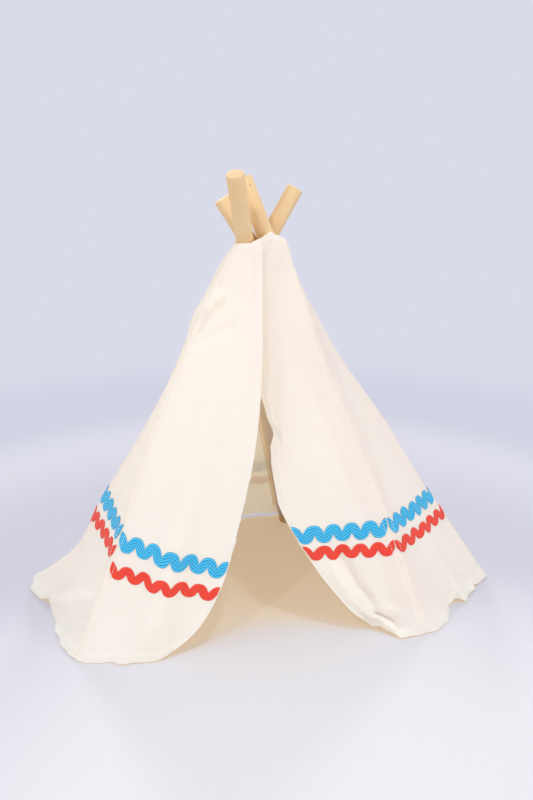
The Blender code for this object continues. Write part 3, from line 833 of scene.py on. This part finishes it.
def add_wall(made, thickness, shares=None):
    """Gives a sheet its final wall behind its outer side, thinner where shares are below 1."""
    wall = made.modifiers.new("wall", "SOLIDIFY")
    wall.thickness = thickness
    wall.offset = -1
    if shares is not None:
        group = made.vertex_groups.new(name="wall")
        for index, value in enumerate(shares.reshape(-1)):
            group.add([index], float(value), "REPLACE")
        wall.vertex_group = "wall"
    graph = bpy.context.evaluated_depsgraph_get()
    shown = bpy.data.meshes.new_from_object(made.evaluated_get(graph))
    made.modifiers.clear()
    made.data = shown
    for vert in shown.vertices:
        vert.co.z = max(vert.co.z, FLOOR_GAP)
    made.vertex_groups.clear()
    return made


def graded(total):
    """Shares of a length in near-even steps, with finer ones at either end."""
    low = [step * MM for step in EDGE_STEPS]
    high = [total - at for at in reversed(low)]
    room = high[0] - low[-1]
    count = max(1, round(room / MESH_STEP))
    middle = [low[-1] + room * k / count for k in range(1, count)]
    return np.array(low + middle + high) / total


def panel_grid(panel):
    """Places u (columns) and v (rows x columns) of a panel's grid, finer along its edges."""
    u = graded(float(panel_width(panel, 1)))
    return u, graded(panel_length(panel))[:, None] * hem_v(panel, u)[None, :]


def with_allowances(panel, points, outward, *grids):
    """The grids with columns added at each sewn edge, where the cloth turns in beside the seam."""
    grids = [points, *grids]
    for side, rib in enumerate(PANELS[panel]["ribs"]):
        if not is_sewn(rib):
            continue
        at = slice(0, 1) if side == 0 else slice(-1, None)
        turned = [points[:, at] - outward[:, at] * ALLOWANCE * share for share in ALLOWANCE_SHARES]
        edges = [turned, *[[grid[:, at]] * len(ALLOWANCE_SHARES) for grid in grids[1:]]]
        for index, columns in enumerate(edges):
            if side == 0:
                grids[index] = np.concatenate([*reversed(columns), grids[index]], 1)
            else:
                grids[index] = np.concatenate([grids[index], *columns], 1)
    return grids


def add_panel(panel, look):
    """One panel of the cover, from neck to hem: turned edges, a wall and seam allowances inside."""
    u, v = panel_grid(panel)
    share = np.broadcast_to(u, v.shape)
    points, outward = outside(panel, share, v)
    weave = np.stack((share * panel_width(panel, v), v * panel_length(panel)), -1)
    layers = turned_share(edge_distance(panel, share, v), LAYER_START)
    walls = (CLOTH + (HEM_CLOTH - CLOTH) * layers) / HEM_CLOTH
    points, share, weave, walls = with_allowances(panel, points, outward, share, weave, walls)
    made = sheet_object(f"cotton_{panel}", points, Vector(outward.mean((0, 1))), share, weave, look)
    area = sum(face.area for face in made.data.polygons)
    return add_wall(made, HEM_CLOTH, walls), area


def braid_edge(colour, phase, side):
    """Upper (side 1) or lower (side -1) edge of a braid of even width laid along a wave."""
    band, swing = BRAIDS[colour]
    wave = np.asarray(phase, float)[..., None]
    reach = np.linspace(-1, 1, BAND_MARKS) * band / 2
    crest = np.cos(wave + reach * 2 * pi / BRAID_PITCH)
    middle = swing * np.tanh(CREST_FULLNESS * crest) / np.tanh(CREST_FULLNESS)
    return side * (side * middle + np.sqrt((band / 2) ** 2 - reach ** 2)).max(-1)


def braid_across(colour, phase, row):
    """How far a braid's rows lie from its middle: broad round crests and narrow notches."""
    top, low = (braid_edge(colour, phase, side) for side in (1, -1))
    return top * (0.5 + row) + low * (0.5 - row)


def square_way(panel, colour, u):
    """Change of u and v, per metre of cloth, square to a braid's line at shares u."""

    def flat_points(u, v):
        start, along = panel_chord(panel, v)
        return start + along * u[..., None]

    def dot(first, second):
        return (first * second).sum(-1)

    v = braid_line(panel, colour, u)
    here = flat_points(u, v)
    across = (flat_points(u + SHARE_PROBE, v) - here) / SHARE_PROBE
    down = (flat_points(u, v + SHARE_PROBE) - here) / SHARE_PROBE
    beside = u + SHARE_PROBE
    run = unit(flat_points(beside, braid_line(panel, colour, beside)) - here)
    square = unit(np.cross(unit(np.cross(across, down)), run))
    square = square * np.where(square[..., 2:] < 0, -1, 1)
    width, lean, height = dot(across, across), dot(across, down), dot(down, down)
    hit_u, hit_v = dot(square, across), dot(square, down)
    whole = width * height - lean ** 2
    return (hit_u * height - hit_v * lean) / whole, (hit_v * width - hit_u * lean) / whole


def distances_along(points):
    """How far each point of a row lies from the first, along the row."""
    steps = np.linalg.norm(np.diff(points, axis=0), axis=-1)
    return np.concatenate(([0], np.cumsum(steps)))


def add_braid(panel, colour, look):
    """Wavy braid sewn on a panel in whole waves, ribbed along its length, cut at its ends."""
    band = BRAIDS[colour][0]
    start, end = braid_end(panel, colour, 0), braid_end(panel, colour, 1)
    marks = np.linspace(start, end, LINE_MARKS)
    length = distances_along(outside(panel, marks, braid_line(panel, colour, marks))[0])[-1]
    steps = max(1, round(length / BRAID_PITCH)) * BRAID_STEPS
    column = np.arange(steps + 1)[None, :]
    row = np.linspace(-0.5, 0.5, BRAID_ROWS)[:, None]
    across = braid_across(colour, 2 * pi * column / BRAID_STEPS, row)
    line = start + (end - start) * column / steps
    way_u, way_v = square_way(panel, colour, line)
    u = line + way_u * across
    v = braid_line(panel, colour, line) + way_v * across
    if panel in FLAP_HINGES:
        door = 0 if FLAP_HINGES[panel] else -1
        edge = door_inset(panel, v[:, door]) + BRAID_MARGIN / panel_width(panel, v[:, door])
        shift = abs(door) + (1 if door == 0 else -1) * edge - u[:, door]
        near = np.clip(1 - np.abs(column - (steps if door else 0)) / BRAID_STEPS, 0, 1)
        u = u + shift[:, None] * near
    points, outward = outside(panel, u, v)
    rounded = np.clip((0.5 - np.abs(row)) * 2 * BRAID_RIBS, 0, 1) ** 0.5
    ribbed = 1 - RIB_DEPTH + RIB_DEPTH * np.abs(np.cos(pi * BRAID_RIBS * row))
    height = BRAID_HEIGHT * (BRAID_EDGE_SHARE + (1 - BRAID_EDGE_SHARE) * rounded * ribbed)
    points = points + outward * (height * np.ones_like(u))[..., None]
    threads = np.stack((column * length / steps + 0 * u, (row + 0.5) * band + 0 * u), -1)
    way = Vector(outward.mean((0, 1)))
    made = sheet_object(f"{colour}_rickrack_{panel}", points, way, u, threads, look)
    return add_wall(made, BRAID_WALL)


def walk(panel, u, v, pitch):
    """Even places (u, v) along a line on a panel."""
    far = distances_along(outside(panel, u, v)[0])
    at = (np.arange(int(far[-1] / pitch)) + 0.5) * pitch
    return np.interp(at, far, u), np.interp(at, far, v)


def stitch_lines(panel):
    """Lines of stitches on a panel: beside its sewn seams and along its turned edges."""
    lines = []
    length = panel_length(panel)
    marks = np.linspace(0, 1, STITCH_MARKS)
    for side in (0, 1):
        lowest = float(hem_v(panel, abs(side - BESIDE)))
        v = marks * (lowest - 2 * STITCH_INSET / length) + STITCH_INSET / length
        share = STITCH_INSET / panel_width(panel, v)
        keep = share < STITCH_ROOM
        u = share if side == 0 else 1 - share
        lines.append((u[keep], v[keep]))
    inset = STITCH_INSET / float(panel_width(panel, 1))
    u = np.linspace(inset, 1 - inset, STITCH_MARKS)
    lines.append((u, hem_v(panel, u) - STITCH_INSET / length))
    return lines


def braid_lift(panel, u, v):
    """Height of the braid, if any, at places on a panel, so that stitches run over it."""
    lift = np.zeros_like(u)
    for colour in BRAIDS:
        start, end = braid_end(panel, colour, 0), braid_end(panel, colour, 1)
        length = (end - start) * panel_width(panel, v)
        waves = np.maximum(1, np.round(length / BRAID_PITCH))
        way_u, way_v = square_way(panel, colour, u)
        near, beside = (braid_line(panel, colour, at) for at in (u, u + PROBE))
        across = (v - near) / (way_v - (beside - near) / PROBE * way_u)
        phase = 2 * pi * waves * (u - across * way_u - start) / (end - start)
        top, low = (braid_across(colour, phase, row) for row in (0.5, -0.5))
        inside = (across < top) & (across > low) & (u > start) & (u < end)
        lift = np.where(inside, BRAID_HEIGHT, lift)
    return lift


def add_stitches(panel, look):
    """Running stitches of a panel, each a small rounded length of thread."""
    bm = bmesh.new()
    shares = []
    grain = bmesh.new()
    bmesh.ops.create_uvsphere(grain, u_segments=6, v_segments=5, radius=1)
    thread = bpy.data.meshes.new("thread")
    grain.to_mesh(thread)
    grain.free()
    for line_u, line_v in stitch_lines(panel):
        u, v = walk(panel, line_u, line_v, STITCH_PITCH)
        points, outward = outside(panel, u, v)
        along = unit(np.gradient(points, axis=0))
        points = points + outward * (braid_lift(panel, u, v) + STITCH_LIFT)[:, None]
        for point, way, up, share in zip(points, along, outward, u):
            x = Vector(way)
            y = Vector(up).cross(x).normalized()
            turn = Matrix((x, y, x.cross(y))).transposed().to_4x4()
            place = Matrix.Translation(point) @ turn @ Matrix.Diagonal((*STITCH_SIZE, 1))
            thread.transform(place)
            bm.from_mesh(thread)
            thread.transform(place.inverted())
            shares.append(share)
    for face in bm.faces:
        face.smooth = True
    made = new_mesh_object(f"stitches_{panel}", bm, look)
    write_values(made.data, "share", np.repeat(shares, len(thread.vertices)))
    return made


def sleeve_points(pole, v):
    """Profiles of a sleeve: sewn to one panel, round the inner side of its pole, to the other."""
    ridge = rib_points(pole, v)
    centre = line_points(pole, ridge[:, 2])
    low, high = line_ends(pole)
    axis = unit(high - low)
    out = ridge - centre
    out = unit(out - axis * (out @ axis)[:, None])
    lateral = np.cross(axis, out)
    legs = []
    for panel, shape in PANELS.items():
        if pole not in shape["ribs"]:
            continue
        leg = []
        for turn in (1, 0.5, 0):
            reach = SLEEVE_HALF_WIDTH + SLEEVE_TURN * turn
            share = np.minimum(reach / panel_width(panel, v), SLEEVE_ROOM)
            u = share if shape["ribs"][0] == pole else 1 - share
            points, outward = cover_points(panel, u, v)
            leg.append(points - outward * (CLOTH + SLEEVE_CLEARANCE))
        legs.append(leg)
    legs.sort(key=lambda leg: -float(((leg[-1] - centre) * lateral).sum()))
    bend = []
    for k in range(SLEEVE_ARC + 1):
        angle = pi / 2 + pi * k / SLEEVE_ARC
        reach = POLE_DIAMETER / 2 + SLEEVE_CLEARANCE
        bend.append(centre + (out * cos(angle) + lateral * sin(angle)) * reach)
    sides = [(legs[0][-1] + bend[0]) / 2, (legs[1][-1] + bend[-1]) / 2]
    profile = [*legs[0], sides[0], *bend, sides[1], *reversed(legs[1])]
    return np.stack(profile, 1), centre


def add_sleeve(pole, look):
    """Cloth channel sewn inside a seam, which holds the pole, with its area and its width."""
    v = np.linspace(*SLEEVE_REACH, SLEEVE_ROWS)
    points, centre = sleeve_points(pole, v)
    away = unit(points - centre[:, None])
    points = points + away * np.abs(soft_noise(points, *SLEEVE_RIPPLE))[..., None]
    far = distances_along(points[0])
    weave = np.stack(np.broadcast_arrays(far[None, :], (v * POLE_LENGTH)[:, None]), -1)
    inwards = Vector(-away[:, points.shape[1] // 2].mean(0))
    share = np.zeros(points.shape[:2])
    made = sheet_object(f"channel_{pole}", points + COVER_PLACE, inwards, share, weave, look)
    area = sum(face.area for face in made.data.polygons)
    return add_wall(made, SLEEVE_WALL), area, float(far[-1])


def cut_level(bm, height, facing, **options):
    """Cuts a mesh at a height."""
    bmesh.ops.bisect_plane(
        bm,
        geom=[*bm.verts, *bm.edges, *bm.faces],
        plane_co=(0, 0, height),
        plane_no=(0, 0, facing),
        **options,
    )


def add_dowel(pole, look):
    """A round wooden dowel with eased ends, its foot cut level to stand on."""
    low, high = line_ends(pole)
    direction = Vector(unit(high - low))
    length = POLE_LENGTH * POLE_LENGTH_SHARES[pole]
    spare = POLE_DIAMETER
    bm = bmesh.new()
    bmesh.ops.create_cone(
        bm,
        cap_ends=True,
        segments=POLE_SIDES,
        radius1=POLE_DIAMETER / 2,
        radius2=POLE_DIAMETER / 2,
        depth=length + spare,
    )
    rims = [edge for edge in bm.edges if abs(edge.verts[0].co.z - edge.verts[1].co.z) < MM]
    bmesh.ops.bevel(
        bm,
        geom=rims,
        offset=POLE_EASING,
        segments=EASING_STEPS,
        profile=0.5,
        affect="EDGES",
        material=-1,
    )
    for cut in range(1, POLE_CUTS):
        cut_level(bm, (cut / POLE_CUTS - 0.5) * length, 1)
    slow, quick = WANDER_LENGTHS
    for vert in bm.verts:
        wander = POLE_WANDER * sin(vert.co.z / slow) * cos(vert.co.z / quick + length)
        vert.co.xy *= 1 + wander
    middle = Vector(low) + direction * (length - spare) / 2 + Vector(COVER_PLACE)
    place = Matrix.Translation(middle) @ direction.to_track_quat("Z", "Y").to_matrix().to_4x4()
    bmesh.ops.transform(bm, matrix=place, verts=bm.verts)
    cut_level(bm, 0, -1, clear_outer=True)
    bmesh.ops.holes_fill(bm, edges=bm.edges, sides=0)
    for face in bm.faces:
        face.smooth = True
    made = new_mesh_object(f"dowel_{pole}", bm, look)
    made.data.set_sharp_from_angle(angle=radians(SHARP_ANGLE))
    back = place.inverted()
    grain = made.data.attributes.new("grain", "FLOAT_VECTOR", "POINT")
    step = list(POLE_SHARES).index(pole)
    for index, vert in enumerate(made.data.vertices):
        local = back @ vert.co
        grain.data[index].vector = (local.x, local.y, local.z - length / 2 + step)
    return made


def feed(tree, socket, value):
    """Links a node's output to a socket, or sets a plain value on it."""
    if isinstance(value, bpy.types.NodeSocket):
        tree.links.new(value, socket)
    else:
        socket.default_value = value


def put(tree, kind, inputs=None, **settings):
    """A new node with its settings, and with values or links on its inputs."""
    made = tree.nodes.new(kind)
    for key, value in settings.items():
        setattr(made, key, value)
    for key, value in (inputs or {}).items():
        feed(tree, made.inputs[key], value)
    return made


def calc(tree, operation, first, second=0.0, third=0.0):
    """Output of a Math node."""
    inputs = {0: first, 1: second, 2: third}
    return put(tree, "ShaderNodeMath", inputs, operation=operation).outputs[0]


def scaled(tree, value, factor, plus=0.0):
    """Output of a value times a factor, plus another value."""
    return calc(tree, "MULTIPLY_ADD", value, factor, plus)


def vector_calc(tree, operation, first, second=(0, 0, 0)):
    """Output of a Vector Math node: a number for a distance or a length."""
    made = put(tree, "ShaderNodeVectorMath", {0: first, 1: second}, operation=operation)
    return made.outputs["Value" if operation in ("DISTANCE", "LENGTH") else "Vector"]


def ramp(tree, value, ends, way="LINEAR"):
    """Output that runs from 0 to 1 as a value runs from one end to the other."""
    inputs = {"Value": value, 1: ends[0], 2: ends[1]}
    return put(tree, "ShaderNodeMapRange", inputs, interpolation_type=way).outputs[0]


def noise(tree, place, scale, detail, stretch=None):
    """Output of a noise over places, stretched first if that is given."""
    if stretch:
        place = put(tree, "ShaderNodeMapping", {"Vector": place, "Scale": stretch}).outputs[0]
    inputs = {"Vector": place, "Scale": scale, "Detail": detail}
    return put(tree, "ShaderNodeTexNoise", inputs).outputs["Fac"]


def object_places(tree):
    return put(tree, "ShaderNodeTexCoord").outputs["Object"]


def new_group(name, number, results):
    """An empty node group that takes a vector and a number, and its two end nodes."""
    group = bpy.data.node_groups.new(name, "ShaderNodeTree")
    group.interface.new_socket(name="Vector", in_out="INPUT", socket_type="NodeSocketVector")
    for title, way in ((number, "INPUT"), *((result, "OUTPUT") for result in results)):
        group.interface.new_socket(name=title, in_out=way, socket_type="NodeSocketFloat")
    return group, group.nodes.new("NodeGroupInput"), group.nodes.new("NodeGroupOutput")


def weave_group():
    """Plain weave over a UV map in metres: height of the threads and how thick each one runs."""
    group, given, result = new_group("plain_weave", "Threads per metre", ("Height", "Slub"))
    inputs = {0: given.outputs[0], "Scale": given.outputs[1]}
    threads = put(group, "ShaderNodeVectorMath", inputs, operation="SCALE").outputs[0]
    parts = put(group, "ShaderNodeSeparateXYZ", {0: threads})
    warp, weft = (calc(group, "SINE", scaled(group, parts.outputs[k], pi)) for k in (0, 1))
    over = scaled(group, scaled(group, warp, weft), 0.5, 0.5)
    under = calc(group, "SUBTRACT", 1.0, over)
    rounds = (
        scaled(group, calc(group, "ABSOLUTE", thread), share)
        for thread, share in ((warp, over), (weft, under))
    )
    slubs = (noise(group, threads, *SLUB_NOISE, stretch) for stretch in SLUB_STRETCHES)
    group.links.new(calc(group, "ADD", *rounds), result.inputs[0])
    group.links.new(scaled(group, calc(group, "ADD", *slubs), 0.5), result.inputs[1])
    return group


def mottle_group():
    """Slow changes of shade over a piece, from Object coordinates."""
    group, given, result = new_group("slow_shade", "Scale", ("Shade",))
    cloud = put(
        group,
        "ShaderNodeTexNoise",
        {
            "Vector": given.outputs[0],
            "Scale": given.outputs[1],
            "Detail": MOTTLE_DETAIL,
            "Roughness": MOTTLE_ROUGHNESS,
        },
    )
    group.links.new(ramp(group, cloud.outputs["Fac"], MOTTLE_ENDS), result.inputs[0])
    return group


def new_material(name, sheen=0.0):
    """A material with its Principled shader, whose plain values stay on its own sockets."""
    made = bpy.data.materials.new(name)
    made.use_nodes = True
    shader = made.node_tree.nodes["Principled BSDF"]
    shader.inputs["Sheen Weight"].default_value = sheen
    shader.inputs["Specular IOR Level"].default_value = SPECULAR
    return made, made.node_tree, shader


def set_look(tree, shader, colour, roughness, raised, relief):
    """Gives a shader its colour, its roughness, and a relief of some strength and depth."""
    inputs = {"Height": raised, "Strength": relief[0], "Distance": relief[1]}
    feed(tree, shader.inputs["Base Color"], colour)
    feed(tree, shader.inputs["Roughness"], roughness)
    feed(tree, shader.inputs["Normal"], put(tree, "ShaderNodeBump", inputs).outputs[0])


def mix_colours(tree, share, first, second):
    made = put(tree, "ShaderNodeMix", data_type="RGBA")
    for key, value in ((0, share), (6, first), (7, second)):
        feed(tree, made.inputs[key], (*value, 1) if isinstance(value, tuple) else value)
    return made.outputs[2]


def use_group(tree, group, place, number):
    return put(tree, "ShaderNodeGroup", {0: place, 1: number}, node_tree=group)


def mix_shaders(tree, share, first, second):
    """Ends a tree in a share of the second shader and the rest of the first."""
    both = put(tree, "ShaderNodeMixShader", {0: share, 1: first.outputs[0], 2: second.outputs[0]})
    tree.links.new(both.outputs[0], tree.nodes["Material Output"].inputs["Surface"])


def let_through(tree, shader, glow, through):
    """Lets a share of the light through the cloth, and nearly all of what is already on its way."""
    lit = put(tree, "ShaderNodeBsdfTranslucent", {"Color": (*glow, 1)})
    path = put(tree, "ShaderNodeLightPath")
    passing = scaled(tree, path.outputs["Is Transmission Ray"], LAYER_THROUGH)
    mix_shaders(tree, calc(tree, "MAXIMUM", passing, through), shader, lit)


def cotton(name, light, deep, glow, groups):
    """Unbleached plain-weave cotton that lets some light through."""
    made, tree, shader = new_material(name, COTTON_SHEEN)
    uv = put(tree, "ShaderNodeUVMap", uv_map="weave").outputs[0]
    weave = use_group(tree, groups["weave"], uv, THREADS_PER_METRE)
    shade = use_group(tree, groups["shade"], object_places(tree), COTTON_MOTTLE)
    height, slub = weave.outputs["Height"], weave.outputs["Slub"]
    tone = scaled(tree, slub, SLUB_SHARE)
    tone = scaled(tree, shade.outputs[0], SHADE_SHARE, tone)
    colour = mix_colours(tree, tone, light, deep)
    rough = scaled(tree, height, *COTTON_ROUGHNESS)
    set_look(tree, shader, colour, rough, scaled(tree, slub, SLUB_HEIGHT, height), COTTON_RELIEF)
    let_through(tree, shader, glow, CLOTH_THROUGH)
    return made


def braid_cloth(colour, light, deep, glow, groups):
    """Plaited rickrack: ribs of thread along it, with painted shade in the grooves between them."""
    made, tree, shader = new_material(f"{colour}_braid", BRAID_SHEEN)
    pitch = BRAIDS[colour][0] / BRAID_RIBS
    uv = put(tree, "ShaderNodeUVMap", uv_map="weave")
    parts = put(tree, "ShaderNodeSeparateXYZ", {0: uv.outputs[0]})
    rib = calc(tree, "ABSOLUTE", calc(tree, "SINE", scaled(tree, parts.outputs[1], pi / pitch)))
    # The grooves between the ribs take the deep colour: painted shade in the grooves
    groove = ramp(tree, rib, GROOVE_ENDS)
    lean = calc(tree, "PINGPONG", parts.outputs[1], pitch)
    run = scaled(tree, lean, PLAIT_LEAN, parts.outputs[0])
    thread = calc(tree, "SINE", scaled(tree, run, 2 * pi / PLAIT_PITCH))
    thread = scaled(tree, thread, 0.5, 0.5)
    shade = use_group(tree, groups["shade"], object_places(tree), BRAID_MOTTLE)
    tone = scaled(tree, groove, BRAID_CONTRAST[colour])
    tone = scaled(tree, thread, PLAIT_SHARE, tone)
    tone = scaled(tree, shade.outputs[0], BRAID_SHADE_SHARE, tone)
    colour = mix_colours(tree, put(tree, "ShaderNodeClamp", {0: tone}).outputs[0], deep, light)
    rough = scaled(tree, thread, *BRAID_ROUGHNESS)
    set_look(tree, shader, colour, rough, scaled(tree, thread, 0.5, groove), BRAID_RELIEF)
    let_through(tree, shader, glow, BRAID_THROUGH)
    return made


def dowel_wood(name, groups):
    """Pale sanded softwood: growth rings cut lengthwise, fine fibres, a small knot and a painted shadow
    where the poles cross.
    """
    made, tree, shader = new_material(name)
    grain = put(tree, "ShaderNodeAttribute", attribute_name="grain").outputs["Vector"]
    drift = noise(tree, grain, 1.0, 2.0, DRIFT_STRETCH)
    parts = put(tree, "ShaderNodeSeparateXYZ", {0: grain})
    x, y = (calc(tree, "ADD", parts.outputs[k], RING_CENTRE[k]) for k in (0, 1))
    radius = calc(tree, "SQRT", scaled(tree, x, x, scaled(tree, y, y)))
    bent = scaled(tree, drift, RING_DRIFT, radius)
    ring = calc(tree, "FRACT", calc(tree, "DIVIDE", bent, RING_PITCH))
    late = ramp(tree, ring, LATE_ENDS, "SMOOTHSTEP")
    fibre = noise(tree, grain, 1.0, 3.0, FIBRE_STRETCH)
    pores = ramp(tree, fibre, PORE_ENDS)
    shade = use_group(tree, groups["shade"], grain, WOOD_MOTTLE)
    colour = mix_colours(tree, late, WOOD_LIGHT, WOOD_LATE)
    for mask, share in ((shade.outputs[0], WOOD_SHADE_SHARE), (pores, PORE_SHARE)):
        colour = mix_colours(tree, scaled(tree, mask, share), colour, WOOD_DEEP)
    # A small knot, and a painted shadow of the crossing pole on the front right dowel
    for place, reach, dark in KNOT_AND_SHADOW_MARKS:
        away = vector_calc(tree, "SUBTRACT", grain, place)
        far = vector_calc(tree, "LENGTH", vector_calc(tree, "DIVIDE", away, reach))
        mark = ramp(tree, far, MARK_ENDS)
        colour = mix_colours(tree, scaled(tree, mark, dark), colour, KNOT_AND_SHADOW_COLOUR)
    rough = scaled(tree, fibre, *WOOD_ROUGHNESS)
    set_look(tree, shader, colour, rough, scaled(tree, late, 0.5, fibre), WOOD_RELIEF)
    return made


def thread_cotton(name):
    """Off-white sewing thread, lightly twisted."""
    made, tree, shader = new_material(name)
    twist = noise(tree, object_places(tree), TWIST_SCALE, 2.0)
    colour = mix_colours(tree, twist, *THREAD_COLOURS)
    set_look(tree, shader, colour, THREAD_ROUGHNESS, twist, THREAD_RELIEF)
    return made


def follow(piece, panel):
    """Makes a piece of a panel move with its cloth when the poles fold or a flap swings."""
    bodies = PANEL_BODIES[panel]
    ribs = PANELS[panel]["ribs"]
    if len(bodies) == 2:
        middle = [rib_points(rib, 0.5) + COVER_PLACE for rib in ribs]
        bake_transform(piece, *bodies, start=tuple(middle[0]), end=tuple(middle[1]))
        write_values(piece.data, "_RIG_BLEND", read_values(piece.data, "share"))
        return
    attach(piece, bodies[0])
    if panel in FLAP_HINGES:
        side = FLAP_HINGES[panel]
        neck, hem = (rib_points(ribs[side], v) + COVER_PLACE for v in (0, 1))
        across = rib_points(ribs[1 - side], SQUASH_DEPTH) + COVER_PLACE - neck
        down = unit(hem - neck)
        across = unit(across - down * (across @ down))
        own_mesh(piece)


def dress_cover(looks):
    """All the cloth of the cover with its braids and stitches, in place of the plain solids."""
    for panel in PANELS:
        made, area = add_panel(panel, looks["canvas"])
        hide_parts(panel)
        going = []
        for colour in BRAIDS:
            braid = add_braid(panel, colour, looks[colour])
            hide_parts(f"{colour}_braid_{panel}")
            going.append(braid)
        stitches = add_stitches(panel, looks["thread"])
        going.append(stitches)
        for piece in (made, *going):
            follow(piece, panel)
        width = float(panel_width(panel, 1)) + 2 * ALLOWANCE
        round(panel_length(panel), 3)


def dress_poles(looks):
    """The dowels and the cloth channels that hold them, in place of the plain solids."""
    for pole in POLE_SHARES:
        dowel = add_dowel(pole, looks["wood"])
        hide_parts(f"pole_{pole}")
        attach(dowel, pole)
        sleeve, area, width = add_sleeve(pole, looks["sleeve"])
        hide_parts(f"sleeve_{pole}")
        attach(sleeve, pole)


def add_stage():
    """Pale paper floor that fades into the plain backdrop, with a painted fall-off of light away from its
    middle and painted warm light where the cloth shuts it in.
    """
    made, tree, shader = new_material("studio_paper")
    place = object_places(tree)
    fleck = noise(tree, place, *FLECK_NOISE)
    far, near = (
        vector_calc(tree, "DISTANCE", place, tuple(COVER_PLACE + middle))
        for middle in ((0, 0, 0), FLOOR_MIDDLE)
    )
    # Painted fall-off of light: the floor's colour darkens away from its middle
    light_falloff = ramp(tree, near, FLOOR_SPREAD, "SMOOTHERSTEP")
    colour = mix_colours(tree, scaled(tree, fleck, FLECK_SHARE, light_falloff), FLOOR_NEAR, FLOOR_FAR)
    set_look(tree, shader, colour, FLOOR_ROUGHNESS, fleck, FLOOR_RELIEF)
    rise, turn, fade = (ramp(tree, far, ends, "SMOOTHERSTEP") for ends in SWEEP)
    open_share = put(
        tree,
        "ShaderNodeAmbientOcclusion",
        {"Distance": GLOW_REACH},
        samples=GLOW_SAMPLES,
    ).outputs["AO"]
    # Painted warm light: emission seen by the camera where the cloth shuts the floor in
    under = ramp(tree, open_share, GLOW_FADE, "SMOOTHSTEP")
    shown = mix_colours(tree, fade, mix_colours(tree, turn, *SWEEP_COLOURS), BACKDROP_COLOUR)
    shown = mix_colours(tree, under, shown, GLOW_COLOUR)
    paper = put(tree, "ShaderNodeEmission", {"Color": shown, "Strength": 1.0})
    path = put(tree, "ShaderNodeLightPath")
    lit = calc(tree, "MAXIMUM", rise, scaled(tree, under, GLOW_SHARE))
    mix_shaders(tree, scaled(tree, lit, path.outputs["Is Camera Ray"]), shader, paper)
    bm = bmesh.new()
    bmesh.ops.create_grid(bm, x_segments=1, y_segments=1, size=FLOOR_REACH)
    floor = new_mesh_object("floor", bm, made)


def add_light(name, place, target, size, power, colour):
    lamp = bpy.data.lights.new(name, "AREA")
    lamp.shape = "DISK"
    lamp.size = size
    lamp.energy = power
    lamp.color = colour
    made = new_object(name, lamp)
    made.location = place
    made.visible_camera = False
    made.rotation_euler = (Vector(target) - Vector(place)).to_track_quat("-Z", "Y").to_euler()


def add_world():
    """Even room light, with the pale backdrop's colour where the camera sees past the floor."""
    world = bpy.data.worlds.new("studio")
    world.use_nodes = True
    tree = world.node_tree
    tree.nodes.clear()
    room, shown = (
        put(tree, "ShaderNodeBackground", {"Color": (*colour, 1), "Strength": strength}).outputs[0]
        for colour, strength in ((ROOM_COLOUR, ROOM_STRENGTH), (BACKDROP_COLOUR, 1.0))
    )
    path = put(tree, "ShaderNodeLightPath")
    seen = calc(tree, "MAXIMUM", path.outputs["Is Camera Ray"], path.outputs["Is Glossy Ray"])
    seen = calc(tree, "MAXIMUM", seen, path.outputs["Is Transmission Ray"])
    both = put(tree, "ShaderNodeMixShader", {0: seen, 1: room, 2: shown})
    put(tree, "ShaderNodeOutputWorld", {"Surface": both.outputs[0]})
    bpy.context.scene.world = world


def add_camera():
    lens = bpy.data.cameras.new("camera")
    lens.lens = CAMERA_LENS
    camera = new_object("camera", lens)
    camera.location = COVER_PLACE + CAMERA_FROM_COVER
    camera.rotation_euler = (radians(90 - CAMERA_FALL), 0, 0)
    bpy.context.scene.camera = camera


def build():
    bpy.context.scene.view_settings.view_transform = "Standard"
    add_camera()
    add_world()
    add_stage()
    for lamp in LAMPS:
        add_light(*lamp)
    groups = {"weave": weave_group(), "shade": mottle_group()}
    looks = {
        "canvas": cotton("canvas", *CANVAS_COLOURS, groups),
        "sleeve": cotton("sleeve_cloth", *SLEEVE_COLOURS, groups),
        "blue": braid_cloth("blue", *BLUE_COLOURS, groups),
        "red": braid_cloth("red", *RED_COLOURS, groups),
        "wood": dowel_wood("pale_wood", groups),
        "thread": thread_cotton("cotton_thread"),
    }
    dress_poles(looks)
    dress_cover(looks)


build()
